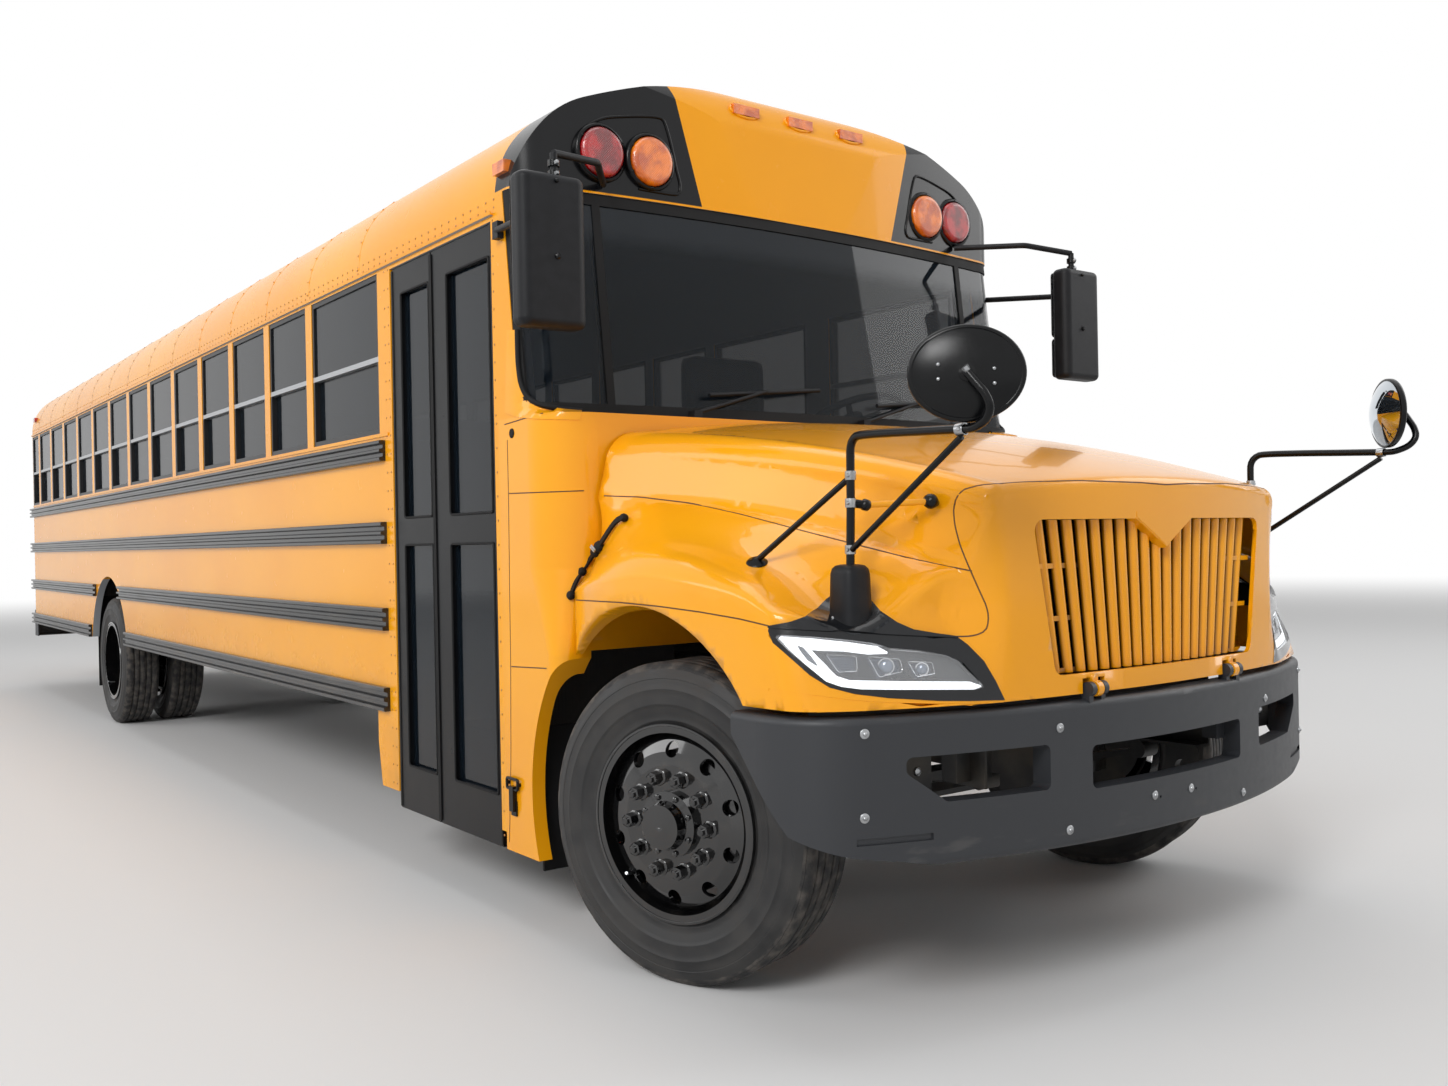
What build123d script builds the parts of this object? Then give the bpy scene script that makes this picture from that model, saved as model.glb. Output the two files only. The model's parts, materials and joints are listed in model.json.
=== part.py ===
from build123d import *
import math
import os

# A conventional school bus in millimetres: +X forward, +Y to the bus's left, +Z up.
# It is drawn with the front axle at x = 0 and the ground at z = 0, and each finished
# piece is moved along X so that the middle of the bus's length is at the origin.

# Overall reach, from the front axle
front_reach = 1265
rear_reach = 11264
front_axle_x = (rear_reach - front_reach) / 2

# Body shell
body_half_width = 1219
wall = 50
skirt_z = 640
eave_z = 2540
roof_corner_radius = 388
roof_crown_radius = 2736
body_rear_x = -11086
rear_corner_radius = 90
rear_cap_depth = 150
cap_rear_x = -850
cap_round_radius = 190
cap_bow_lead = 2

# Front of the body: bowed in plan, leaning back
front_bow_radius = 8000
front_corner_radius = 120
screen_foot_x = -497
screen_foot_z = 1771
screen_head_x = -590
screen_head_z = 2567
screen_glass = 8
screen_frame_depth = 34
screen_border = 42
screen_divider_y = 930

# Floor and entrance steps
floor_z = 1010
floor_thickness = 40
step_riser = 217
step_count = 3
step_run = 230
step_plate = 25

# Entrance door, in two leaves that open outward
door_front_x = -885
door_rear_x = -1811
door_seam_x = -1416
door_foot_z = 252
door_head_z = 2475
leaf_thickness = 36
leaf_inset = 7
leaf_gap = 10
leaf_seal = 6
step_skirt_z = 316

# Side windows
window_sill_z = 1811
window_head_z = 2487
window_rail_z = 2128
window_pitch = 649.4
window_post = 84
first_post_x = -2811
first_window_front_x = -1947
pitch_count = 12
last_window_rear_x = -10990
driver_window_front_x = -900
driver_window_rear_x = -1760
sash_width = 22
sash_depth = 40
pane = 6

# Rub rails
rail_proud = 28
rail_front_x = -1890
rail_front_left_x = -760
rail_rear_x = -11070

# Wheels
tyre_radius = 485
tyre_width = 258
bead_radius = 284
rim_radius = 298.5
rim_width = 236
rim_barrel_radius = 272
wheelbase = 7530
arch_radius = 656
rest_steer = 17
kingpin_y = 940
kingpin_offset = 88
dual_middle_y = 914.5
dual_spacing = 325
stud_circle = 142.9
stud_count = 10
running_clearance = 0.05
move_clearance = 6

# Chassis
rail_outer_y = 432
rail_top_z = 890
rail_height = 254
rail_flange = 76
rail_web = 9
frame_front_x = 860
frame_rear_x = -11036

# Hood
hood_rear_x = -450
hood_wall = 14
fascia_foot_z = 888
fascia_front_x = 1003
hood_plan_half = 1400
hood_plan_corner = 500
hood_plan_bow = 4200
hood_round_rear_x = 750
fender_corner_y = 1140
fender_corner_round = 160
hood_seam_y = 730
hood_nose_round = 34
hood_inner_round = 24
arch_flange_depth = 90
hood_pivot_x = 995
hood_pivot_z = 900

# Front bumper
bumper_front_x = 1028
bumper_bow_radius = 2800
bumper_top_z = 872
bumper_foot_z = 474
bumper_wall = 60

arch_centre_z = tyre_radius
rear_axle_x = -wheelbase

# Roof hatches: x of the middle of each
hatch_places = (-3700, -8300)
hatch_size = 640
hatch_lip = 30
hatch_height = 46
hatch_curb = 24

# Cowl sections: height and plan corner radius
cowl_bow_radius = 60000
cowl_sections = ((255, 60), (960, 60), (1245, 175), (screen_foot_z, 175))

# Rear end: emergency door, windows and the plates that carry the lamps
rear_door_y = (-350, 350)
rear_door_z = (1020, 2450)
rear_window_y = (470, 1010)
rear_window_z = (1850, 2400)
rear_door_glass_z = (1790, 2330)
rear_door_low_glass_z = (1200, 1560)
rear_hinge_x = body_rear_x - 8
rear_hinge_y = rear_door_y[0] - 6
rear_hinge_places = (1150, 1735, 2320)
rear_hinge_height = 50
rear_hinge_barrel = 7

# Rub rails: lower edge, upper edge, and whether the rear wheel arch breaks the rail
rub_rails = ((1692, 1779, False), (1343, 1436, False), (979, 1074, True), (640, 740, True))

# Hood half-sections from rear to front: x, height of the crown, shoulder y and z,
# top corner y and z, seam y and z, fender shoulder y and z, and how far the fender
# between seam and shoulder bulges outward
hood_sections = (
    (hood_rear_x, 1770, 887, 1709, 1022, 1627, 1060, 1483, 1157, 1180, -40),
    (-150, 1740, 850, 1680, 945, 1590, 983, 1455, 1216, 1215, 20),
    (250, 1682, 780, 1625, 860, 1540, 896, 1405, 1218, 1215, 45),
    (650, 1598, 710, 1545, 775, 1465, 806, 1318, 1200, 1160, 50),
    (1020, 1482, 620, 1440, 680, 1365, 720, 1215, 1150, 1080, 50),
)

# Grille: half-widths and heights of its outline
grille_top_y = 559
grille_top_z = 1371
grille_foot_y = 485
grille_foot_z = 944
grille_notch_z = 1293
grille_notch_y = 100
grille_shoulder_round = 60
grille_corner_round = 32
grille_recess = 26
grille_bow = 38
grille_slat_width = 36
grille_slat_nose = 13
grille_slat_depth = 40
grille_count = 19

# Foot of each bar behind the slats
grille_bar_places = (grille_foot_z, 1090, 1236)
grille_bar_height = 14

# Hood hinges
hood_lug_y = 340
hood_lug_half = 12
hood_lug_top_z = grille_foot_z - 4
hood_notch_z = 930
hinge_pin = 10

# Crossover mirrors: foot, bend and elbow of the arm, its ball, the dish,
# foot and top of the brace, and foot of the stay
crossover_places = (
    (680, 975, 1190),
    (703, 975, 1600),
    (1160, 1030, 1627),
    (1212, 1080, 1668),
    (1166, 1034, 1711),
    (330, 1010, 1262),
    (700, 975, 1480),
    (690, 975, 1300),
)
crossover_tube = 13
crossover_rod = 10
crossover_base_z = 1215
dish_radius = 138
dish_depth = 24
dish_rim = 14
dish_bulge = 40

# Headlight outline on the fender's front corner: y and z, and how far back it reaches
headlight_outline = ((1300, 1100), (905, 1060), (760, 1010), (720, 905), (900, 890), (1300, 985))
headlight_rear_x = 600
headlight_depth = 40

# Bumper ends, openings and plate bolts
bumper_end_x = 470
bumper_pad_x = 900
bumper_round = 20

# Openings in the bumper, one half of the centre one and the bay beside it: y and z
bumper_centre_outline = ((0, 625), (370, 625), (370, 745), (0, 745))
bumper_bay_outline = ((520, 640), (840, 640), (950, 722), (950, 762), (520, 762))
bumper_opening_round = 18
bumper_slot_depth = 8
plate_bolt_spacing = 178
plate_bolt_z = 568
plate_bolt_radius = 4

# Cross members and tow eyes
cross_member_places = (815, -1250, -2800, -4300, -5800, -6700, -8350, -9950, -10980)
tow_eyes = ((780, 560), (-10950, 560))
tow_eye_y = 412
tow_eye_radius = 26

# Steering
kingpin_radius = 22

# Steering arm's end, back from the kingpin and in from it, and its ball pin
steer_arm_end = (-200, 60)
tie_pin_radius = 12
tie_rod_z = 350

# Wheel ends
spindle_radius = 34
front_disc_face = 116
spindle_end = 228 - kingpin_offset

# Rear axle and springs
axle_tube_radius = 60
spring_eye = 30
rear_spring_reach = 660
rear_spring_eye_z = 640

# Front lamps on the cap: y, z and radius, on each side
cap_lamps = ((908, 2713), (710, 2708))
lamp_radius = 89
lamp_depth = 50

# Driver's place: steering wheel centre, radius and tilt, and the seat
wheel_centre = (-980, 600, 1850)
wheel_radius = 230
wheel_tilt = 25

# Passenger seats: rows on each side of the aisle
seat_rows = 12
seat_pitch = 700
seat_first_x = -2500
seat_width = 960
seat_cushion_z = (1310, 1440)
seat_back_top_z = 1990

# Door glass heights
leaf_glass_heights = ((436, 1337), (1448, 2364))

# Stop arm and wipers
stop_arm_hinge = (-1010, body_half_width + 62, 1560)
stop_arm_reach = 330
stop_arm_height = 120
stop_blade_half_width = 228.5
stop_blade_sides = 8
stop_blade_thickness = 6
stop_barrel = 12
stop_pin = 5
stop_ear = 30
wiper_pivots = (-627, 200)


def block(x, y, z):
    """A box between two values on each axis."""
    size = [max(span) - min(span) for span in (x, y, z)]
    return Pos(min(x), min(y), min(z)) * Box(*size, align=(Align.MIN, Align.MIN, Align.MIN))


def along_x(face, start, end):
    """Extrude a face whose own axes are y and z."""
    return extrude(Plane.YZ.offset(start) * face, end - start, dir=(1, 0, 0))


def along_y(face, start, end):
    """Extrude a face whose own axes are x and z."""
    return extrude(Plane.XZ.offset(-start) * face, end - start, dir=(0, 1, 0))


def along_z(face, start, end):
    """Extrude a face whose own axes are x and y."""
    return extrude(Plane.XY.offset(start) * face, end - start, dir=(0, 0, 1))


def polygon(*points):
    return make_face(Polyline(*points, close=True))


def rod(start, end, radius):
    """A round bar between two points."""
    direction = Vector(*end) - Vector(*start)
    return Plane(origin=start, z_dir=direction) * Cylinder(
        radius, direction.length, align=(Align.CENTER, Align.CENTER, Align.MIN)
    )


def bent_tube(points, radius, bend):
    """A round bar along straight runs joined by arcs of one bend radius."""
    path = FilletPolyline(*points, radius=bend)
    start = Plane(origin=path @ 0, z_dir=path % 0)
    return sweep(start * Circle(radius), path=path)


def turned(profile):
    """A solid of revolution about Z from points (radius, height)."""
    return revolve(Plane.XZ * polygon(*profile), Axis.Z)


def save(name, *shapes):
    """Write one named piece, moved so that the origin is at the middle of the bus."""
    solids = [solid for shape in shapes for solid in shape.solids()]
    export_step(Pos(front_axle_x, 0, 0) * Compound(solids), f"parts/{name}.step")


def body_outline(inset, foot_z):
    """The body's cross-section in y and z: straight sides, corner arcs and a crowned top."""
    half = body_half_width - inset
    corner_y = body_half_width - roof_corner_radius
    drop = math.sqrt((roof_crown_radius - roof_corner_radius) ** 2 - corner_y**2)
    crown_centre_z = eave_z - drop
    meet_angle = math.atan2(drop, corner_y)
    corner = roof_corner_radius - inset
    crown = roof_crown_radius - inset
    middle = (
        corner_y + corner * math.cos(meet_angle / 2),
        eave_z + corner * math.sin(meet_angle / 2),
    )
    meet = (crown * math.cos(meet_angle), crown_centre_z + crown * math.sin(meet_angle))
    top = (0, crown_centre_z + crown)
    left = [
        Line((half, foot_z), (half, eave_z)),
        ThreePointArc((half, eave_z), middle, meet),
    ]
    right = [
        ThreePointArc((-meet[0], meet[1]), (-middle[0], middle[1]), (-half, eave_z)),
        Line((-half, eave_z), (-half, foot_z)),
    ]
    roof = ThreePointArc(meet, top, (-meet[0], meet[1]))
    return make_face(left + [roof] + right + [Line((-half, foot_z), (half, foot_z))])


def crown_z():
    corner_y = body_half_width - roof_corner_radius
    drop = math.sqrt((roof_crown_radius - roof_corner_radius) ** 2 - corner_y**2)
    return eave_z - drop + roof_crown_radius


def bowed_plan(front_x, back_x, half_width, corner, bow=front_bow_radius):
    """A plan outline with a bowed front edge that runs smoothly into round front corners."""
    edge_y = half_width - corner
    bow_x = front_x - bow
    corner_x = bow_x + math.sqrt((bow - corner) ** 2 - edge_y**2)
    meet = math.asin(edge_y / (bow - corner))
    meet_x, meet_y = bow_x + bow * math.cos(meet), bow * math.sin(meet)
    middle = (meet + math.pi / 2) / 2
    mid_x, mid_y = corner_x + corner * math.cos(middle), edge_y + corner * math.sin(middle)
    return make_face(
        [
            ThreePointArc((meet_x, -meet_y), (front_x, 0), (meet_x, meet_y)),
            ThreePointArc((meet_x, meet_y), (mid_x, mid_y), (corner_x, half_width)),
            Line((corner_x, half_width), (back_x, half_width)),
            Line((back_x, half_width), (back_x, -half_width)),
            Line((back_x, -half_width), (corner_x, -half_width)),
            ThreePointArc((corner_x, -half_width), (mid_x, -mid_y), (meet_x, -meet_y)),
        ]
    )


def screen_front_x(z):
    """The front of the windshield's surface on the centre line at a height."""
    lean = (screen_head_x - screen_foot_x) / (screen_head_z - screen_foot_z)
    return screen_foot_x + lean * (z - screen_foot_z)


def screen_edge_x(z):
    """Where the windshield's curved corner ends at the body's side, at a height."""
    straight_y = body_half_width - front_corner_radius
    bow = front_bow_radius - math.sqrt(front_bow_radius**2 - straight_y**2)
    return screen_front_x(z) - bow - front_corner_radius - 8


def arch_cutter(x, inner_y, side):
    """The round wheel opening, cut outward from inner_y on one side of the bus."""
    outer_y = body_half_width + 200
    drum = Cylinder(arch_radius, outer_y - inner_y)
    return Pos(x, side * (inner_y + outer_y) / 2, arch_centre_z) * Rot(90, 0, 0) * drum


def window_spans():
    """The x spans of the passenger windows on one side, from the front."""
    half_post = window_post / 2
    spans = [(first_post_x + half_post, first_window_front_x)]
    for index in range(pitch_count):
        post_x = first_post_x - index * window_pitch
        spans.append((post_x - window_pitch + half_post, post_x - half_post))
    last_post_x = first_post_x - pitch_count * window_pitch
    spans.append((last_window_rear_x, last_post_x - half_post))
    return spans


def driver_window_span():
    return (driver_window_rear_x, driver_window_front_x)


def side_wall(side):
    """One side of the body, as thick as the wall, with its windows, arch and door cut."""
    inner = body_half_width - wall
    outer = body_half_width
    low, high = sorted((side * inner, side * outer))
    span_y = (low, high)
    cut_y = (low - 5, high + 5)
    shape = block((body_rear_x + rear_corner_radius, door_rear_x), span_y, (skirt_z, eave_z))
    post = polygon(
        (door_front_x, screen_foot_z),
        (screen_edge_x(screen_foot_z), screen_foot_z),
        (screen_edge_x(eave_z), eave_z),
        (door_front_x, eave_z),
    )
    shape += along_y(post, low, high)
    if side < 0:
        head_z = door_head_z + move_clearance
        shape += block((door_rear_x, door_front_x), span_y, (head_z, eave_z))
        shape += block((door_front_x, cap_rear_x), span_y, (step_skirt_z, eave_z))
        skirt = polygon(
            (door_rear_x, skirt_z),
            (door_rear_x, step_skirt_z),
            (door_rear_x - 178, step_skirt_z),
            (door_rear_x - 214, step_skirt_z + 179),
            (door_rear_x - 214, skirt_z),
        )
        shape += along_y(skirt, low, high)
    else:
        shape += block((door_rear_x, cap_rear_x), span_y, (skirt_z, eave_z))
        shape -= block(driver_window_span(), cut_y, (window_sill_z, window_head_z))
    shape -= [block(span, cut_y, (window_sill_z, window_head_z)) for span in window_spans()]
    return shape - arch_cutter(rear_axle_x, inner - 20, side)


def sash(span, side):
    """A window's frame: a ring with the rail that parts its two panes."""
    outer = body_half_width - 4
    span_y = sorted((side * outer, side * (outer - sash_depth)))
    cut_y = (span_y[0] - 5, span_y[1] + 5)
    frame = block(span, span_y, (window_sill_z, window_head_z))
    for low_z, high_z in pane_heights():
        frame -= block((span[0] + sash_width, span[1] - sash_width), cut_y, (low_z, high_z))
    return frame


def pane_heights():
    """The z spans of a window's lower and upper panes."""
    half_rail = sash_width / 2
    lower = (window_sill_z + sash_width, window_rail_z - half_rail)
    upper = (window_rail_z + half_rail, window_head_z - sash_width)
    return (lower, upper)


def panes(span, side):
    """A window's two panes: the lower one is set in behind the upper."""
    outer = body_half_width - 4
    solids = []
    for (low_z, high_z), depth in zip(pane_heights(), (24, 8)):
        span_y = sorted((side * (outer - depth), side * (outer - depth - pane)))
        solids.append(
            block((span[0] + sash_width, span[1] - sash_width), span_y, (low_z, high_z))
        )
    return solids


def roof():
    """The roof skin between the front and rear caps, with its two hatch openings."""
    outer = along_x(body_outline(0, skirt_z), body_rear_x + rear_cap_depth, cap_rear_x)
    inner = along_x(body_outline(wall, skirt_z), body_rear_x, cap_rear_x + 10)
    below = block((body_rear_x, cap_rear_x + 10), (-2000, 2000), (0, eave_z))
    shape = outer - inner - below
    for hatch_x in hatch_places:
        size = hatch_size - 2 * hatch_lip
        shape -= Pos(hatch_x, 0, crown_z()) * Box(size, size, 400)
    return shape


def hatch_curbs():
    """A low frame on the roof under each hatch lid."""
    solids = []
    for hatch_x in hatch_places:
        size = hatch_size
        hole = hatch_size - 2 * hatch_lip
        curb = Pos(hatch_x, 0, crown_z()) * Box(size, size, 2 * hatch_curb)
        curb -= Pos(hatch_x, 0, crown_z()) * Box(hole, hole, 400)
        curb -= along_x(body_outline(wall / 2, skirt_z), hatch_x - size, hatch_x + size)
        solids.append(curb)
    return solids


def hatch_lid(hatch_x):
    """A shallow lid with sloped sides that seats on the curb's top."""
    half = hatch_size / 2 + 10
    foot_z = crown_z() + hatch_curb
    base = Plane.XY.offset(foot_z) * Pos(hatch_x, 0) * Rectangle(2 * half, 2 * half)
    top = Plane.XY.offset(foot_z + hatch_height) * Pos(hatch_x, 0) * Rectangle(
        2 * half - 70, 2 * half - 70
    )
    return loft([base, top])


def cap_solid(inset):
    """The domed front end of the roof, filled, inset from its outer surface."""
    round_radius = cap_round_radius
    front_x = screen_head_x - inset
    top_z = crown_z() - inset
    side = make_face(
        [
            Line((cap_rear_x - 10, eave_z - 5), (front_x, eave_z - 5)),
            Line((front_x, eave_z - 5), (front_x - 8, top_z - round_radius)),
            ThreePointArc(
                (front_x - 8, top_z - round_radius),
                (front_x - 8 - 0.293 * round_radius, top_z - 0.293 * round_radius),
                (front_x - 8 - round_radius, top_z),
            ),
            Line((front_x - 8 - round_radius, top_z), (cap_rear_x - 10, top_z)),
            Line((cap_rear_x - 10, top_z), (cap_rear_x - 10, eave_z - 5)),
        ]
    )
    shape = along_x(body_outline(inset, skirt_z), cap_rear_x - 10, screen_head_x + 50)
    half = body_half_width - inset
    plan = bowed_plan(front_x + cap_bow_lead, cap_rear_x - 10, half, front_corner_radius)
    shape &= along_z(plan, eave_z - 10, crown_z() + 10)
    return shape & along_y(side, -body_half_width - 10, body_half_width + 10)


def front_cap():
    """The cap over the windshield, with the face that carries its lamps."""
    shape = cap_solid(0) - cap_solid(wall)
    shape -= block((cap_rear_x - 50, cap_rear_x), (-2000, 2000), (0, 4000))
    shape -= block((-2000, 0), (-2000, 2000), (0, eave_z))
    return shape - block((screen_edge_x(screen_head_z), 0), (-2000, 2000), (0, screen_head_z))


def cowl_plan(inset, corner):
    front_x = hood_rear_x - 6 - inset
    return bowed_plan(front_x, cap_rear_x, body_half_width - inset, corner, cowl_bow_radius)


def cowl():
    """The panel between hood and windshield, with the corners down to the wheel arches."""

    def filled(inset):
        shape = None
        for (low_z, low_corner), (high_z, high_corner) in zip(cowl_sections, cowl_sections[1:]):
            low = Plane.XY.offset(low_z) * cowl_plan(inset, low_corner)
            high = Plane.XY.offset(high_z) * cowl_plan(inset, high_corner)
            stretch = loft([low, high], ruled=True)
            shape = stretch if shape is None else shape + stretch
        return shape

    shape = filled(0) - filled(wall)
    for side in (-1, 1):
        shape -= arch_cutter(0, body_half_width - 200, side)
    shape -= block((-2000, 0), (-body_half_width + 130, body_half_width - 130), (0, floor_z - 40))
    lower_left = block((-2000, 0), (body_half_width - 200, 2000), (0, 320))
    return shape - lower_left


def screen_strip(inset, thickness, low_z, high_z):
    """A curved, leaning sheet: the windshield's surface between two heights."""

    def filled(depth):
        sections = []
        for z in (low_z, high_z):
            corner = front_corner_radius - depth
            half = body_half_width - depth
            back_x = screen_edge_x(z)
            plan = bowed_plan(screen_front_x(z) - depth, back_x, half, corner)
            sections.append(Plane.XY.offset(z) * plan)
        return loft(sections, ruled=True)

    return filled(inset) - filled(inset + thickness)


def windshield():
    """The main glass and its two curved corner panes, with the black frame between them."""
    low_z, high_z = screen_foot_z, screen_head_z
    frame = screen_strip(3, screen_frame_depth, low_z, high_z)
    opening_z = (low_z + screen_border, high_z - screen_border)
    side_view = polygon(
        (screen_edge_x(low_z) + screen_border, opening_z[0]),
        (0, opening_z[0]),
        (0, opening_z[1]),
        (screen_edge_x(high_z) + screen_border, opening_z[1]),
    )
    opening = along_y(side_view, -body_half_width, body_half_width)
    for side in (-1, 1):
        middle = side * screen_divider_y
        opening -= block((-2000, 0), (middle - 15, middle + 15), (low_z, high_z))
    glass = screen_strip(9, screen_glass, low_z, high_z) & opening
    return frame - opening, glass


def end_cap():
    """The rear wall and the rounded rear end of the roof, with door and windows cut."""

    def filled(inset):
        front_x = body_rear_x + rear_cap_depth + 10
        shape = along_x(body_outline(inset, skirt_z), body_rear_x + inset, front_x)
        rear_edges = shape.faces().sort_by(Axis.X)[0].edges().sort_by(Axis.Z)[1:]
        return fillet(rear_edges, rear_corner_radius - inset)

    shape = filled(0) - filled(wall)
    front_x = body_rear_x + rear_cap_depth
    shape -= block((front_x, front_x + 50), (-2000, 2000), (0, 4000))
    shape -= block((body_rear_x + rear_corner_radius, front_x), (-2000, 2000), (0, eave_z))
    cut_x = (body_rear_x - 20, body_rear_x + wall + 20)
    gap = move_clearance
    door_y = (rear_door_y[0] - gap, rear_door_y[1] + gap)
    shape -= block(cut_x, door_y, (rear_door_z[0] - gap, rear_door_z[1] + gap))
    for side in (-1, 1):
        span_y = sorted((side * rear_window_y[0], side * rear_window_y[1]))
        shape -= block(cut_x, span_y, rear_window_z)
    for z in rear_hinge_places:
        for offset in (-rear_hinge_height, rear_hinge_height):
            knuckle = Cylinder(rear_hinge_barrel, rear_hinge_height - 1)
            shape += Pos(rear_hinge_x, rear_hinge_y, z + offset) * knuckle
            span_z = (z + offset - rear_hinge_height / 2 + 1, z + offset + rear_hinge_height / 2 - 1)
            shape += block((rear_hinge_x, body_rear_x + 1), (rear_hinge_y - 40, rear_hinge_y), span_z)
    return shape


def rear_glass():
    panels = []
    span_x = (body_rear_x + 12, body_rear_x + 12 + pane)
    for side in (-1, 1):
        span_y = sorted((side * rear_window_y[0], side * rear_window_y[1]))
        panels.append(block(span_x, span_y, rear_window_z))
    return panels


def rear_door():
    """The emergency door and its two panes, hinged on the bus's right."""
    leaf = block((body_rear_x, body_rear_x + wall), rear_door_y, rear_door_z)
    glass = []
    for span_z in (rear_door_glass_z, rear_door_low_glass_z):
        span_y = (rear_door_y[0] + 90, rear_door_y[1] - 90)
        leaf -= block((body_rear_x - 10, body_rear_x + wall + 10), span_y, span_z)
        glass.append(block((body_rear_x + 12, body_rear_x + 12 + pane), span_y, span_z))
    for z in rear_hinge_places:
        leaf += Pos(rear_hinge_x, rear_hinge_y, z) * Cylinder(rear_hinge_barrel, rear_hinge_height - 1)
        span_z = (z - rear_hinge_height / 2 + 1, z + rear_hinge_height / 2 - 1)
        leaf += block((rear_hinge_x, body_rear_x + 1), (rear_hinge_y, rear_hinge_y + 46), span_z)
    handle_y = rear_door_y[1] - 60
    leaf += block((body_rear_x - 30, body_rear_x), (handle_y - 15, handle_y + 15), (1640, 1740))
    return leaf, glass


def half_inner():
    return body_half_width - wall


def floor_with_steps():
    """The floor, cut for the step well, with the well's treads, risers and end plates."""
    shape = floor_plate()
    half = half_inner()
    plate = step_plate
    well_x = (door_rear_x, door_front_x)
    depth = step_count * step_run
    shape -= block(well_x, (-half - 20, -half + depth), (0, floor_z + 10))
    for index in range(step_count):
        tread_z = floor_z - (step_count - index) * step_riser
        outer_y = -half + index * step_run
        inner_y = outer_y + step_run
        shape += block(well_x, (outer_y, inner_y), (tread_z - plate, tread_z))
        riser = (inner_y - plate, inner_y)
        shape += block(well_x, riser, (tread_z - plate, tread_z + step_riser))
    foot_z = floor_z - step_count * step_riser - plate
    for end_x in (well_x[0] - plate, well_x[1]):
        profile = polygon(
            (-half, foot_z),
            (-half + step_run, foot_z),
            (-half + depth, floor_z - step_riser - plate),
            (-half + depth, floor_z),
            (-half, floor_z),
        )
        shape += along_x(profile, end_x, end_x + plate)
    return shape


def floor_plate():
    half = half_inner()
    low_z = floor_z - floor_thickness
    front_x = hood_rear_x - 6 - wall - 1
    plan = bowed_plan(front_x, body_rear_x + wall, half, 190, cowl_bow_radius)
    shape = along_z(plan, low_z, floor_z)
    for side in (-1, 1):
        span_y = sorted((side * (half - rear_corner_radius), side * (half + 10)))
        shape -= block((body_rear_x, body_rear_x + wall + rear_corner_radius), span_y, (0, 2000))
    box_top = arch_centre_z + arch_radius + 12
    box_x = (rear_axle_x - arch_radius - 20, rear_axle_x + arch_radius + 20)
    for side in (-1, 1):
        outer_span = sorted((side * (half - 640), side * half))
        inner_span = sorted((side * (half - 620), side * (half + 20)))
        shape += block(box_x, outer_span, (low_z, box_top))
        shape -= block((box_x[0] + 20, box_x[1] - 20), inner_span, (0, box_top - 20))
    return shape


def rail_piece(low_z, high_z, rear_x, front_x, side):
    """A ribbed rail on the body's side: a flat web with a rib at each edge and one between."""
    height = high_z - low_z
    web = body_half_width + 12
    proud = body_half_width + rail_proud
    rib = height * 0.2
    gap = (height - 3 * rib) / 2
    points = [(body_half_width, low_z), (proud - 4, low_z)]
    for index in range(3):
        foot = low_z + index * (rib + gap)
        points += [(proud, foot + 4), (proud, foot + rib - 4)]
        if index < 2:
            points += [(web, foot + rib + 2), (web, foot + rib + gap - 2)]
    points += [(proud - 4, high_z), (body_half_width, high_z)]
    outline = polygon(*[(side * y, z) for y, z in points])
    return along_x(outline, rear_x, front_x)


def all_rub_rails():
    solids = []
    for side, front_x in ((-1, rail_front_x), (1, rail_front_left_x)):
        for low_z, high_z, broken in rub_rails:
            if not broken:
                solids.append(rail_piece(low_z, high_z, rail_rear_x, front_x, side))
                continue
            reach = arch_radius + 8
            rise = max(0, low_z - arch_centre_z)
            half_gap = math.sqrt(reach**2 - rise**2)
            solids.append(rail_piece(low_z, high_z, rear_axle_x + half_gap, front_x, side))
            solids.append(rail_piece(low_z, high_z, rail_rear_x, rear_axle_x - half_gap, side))
    return solids


def hood_face(section, inset):
    """One cross-section of hood and fenders, inset from the outer surface."""
    x, top, sh_y, sh_z, co_y, co_z, seam_y, seam_z, fe_y, fe_z, bulge = section
    foot_z = fascia_foot_z - 300
    sh_y, co_y, seam_y, fe_y = (value - inset for value in (sh_y, co_y, seam_y, fe_y))
    sh_z, co_z, seam_z, fe_z = (value - 0.6 * inset for value in (sh_z, co_z, seam_z, fe_z))
    top -= inset
    crown_mid = (sh_y / 2, sh_z + (top - sh_z) * 0.76)
    corner_mid = ((sh_y + co_y) / 2 + 22, (sh_z + co_z) / 2 + 16)
    fender_mid = ((seam_y + fe_y) / 2 + bulge, (seam_z + fe_z) / 2 + bulge)
    half = [
        ThreePointArc((0, top), crown_mid, (sh_y, sh_z)),
        ThreePointArc((sh_y, sh_z), corner_mid, (co_y, co_z)),
        Line((co_y, co_z), (seam_y, seam_z)),
        ThreePointArc((seam_y, seam_z), fender_mid, (fe_y, fe_z)),
        Line((fe_y, fe_z), (fe_y, foot_z)),
        Line((fe_y, foot_z), (0, foot_z)),
    ]
    other = [mirror(edge, about=Plane.YZ) for edge in half]
    return Plane.YZ.offset(x) * make_face(half + other)


def hood_filled(inset):
    """Hood and fenders, filled: lofted sections trimmed to the bowed front."""
    shape = loft([hood_face(section, inset) for section in hood_sections])
    front_x = fascia_front_x - inset
    plan = bowed_plan(front_x, -2000, hood_plan_half, hood_plan_corner, hood_plan_bow)
    half = body_half_width - inset
    shape &= block((-2000, 2000), (-half, half), (0, 3000))
    return shape & along_z(plan, 0, 3000)


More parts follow.
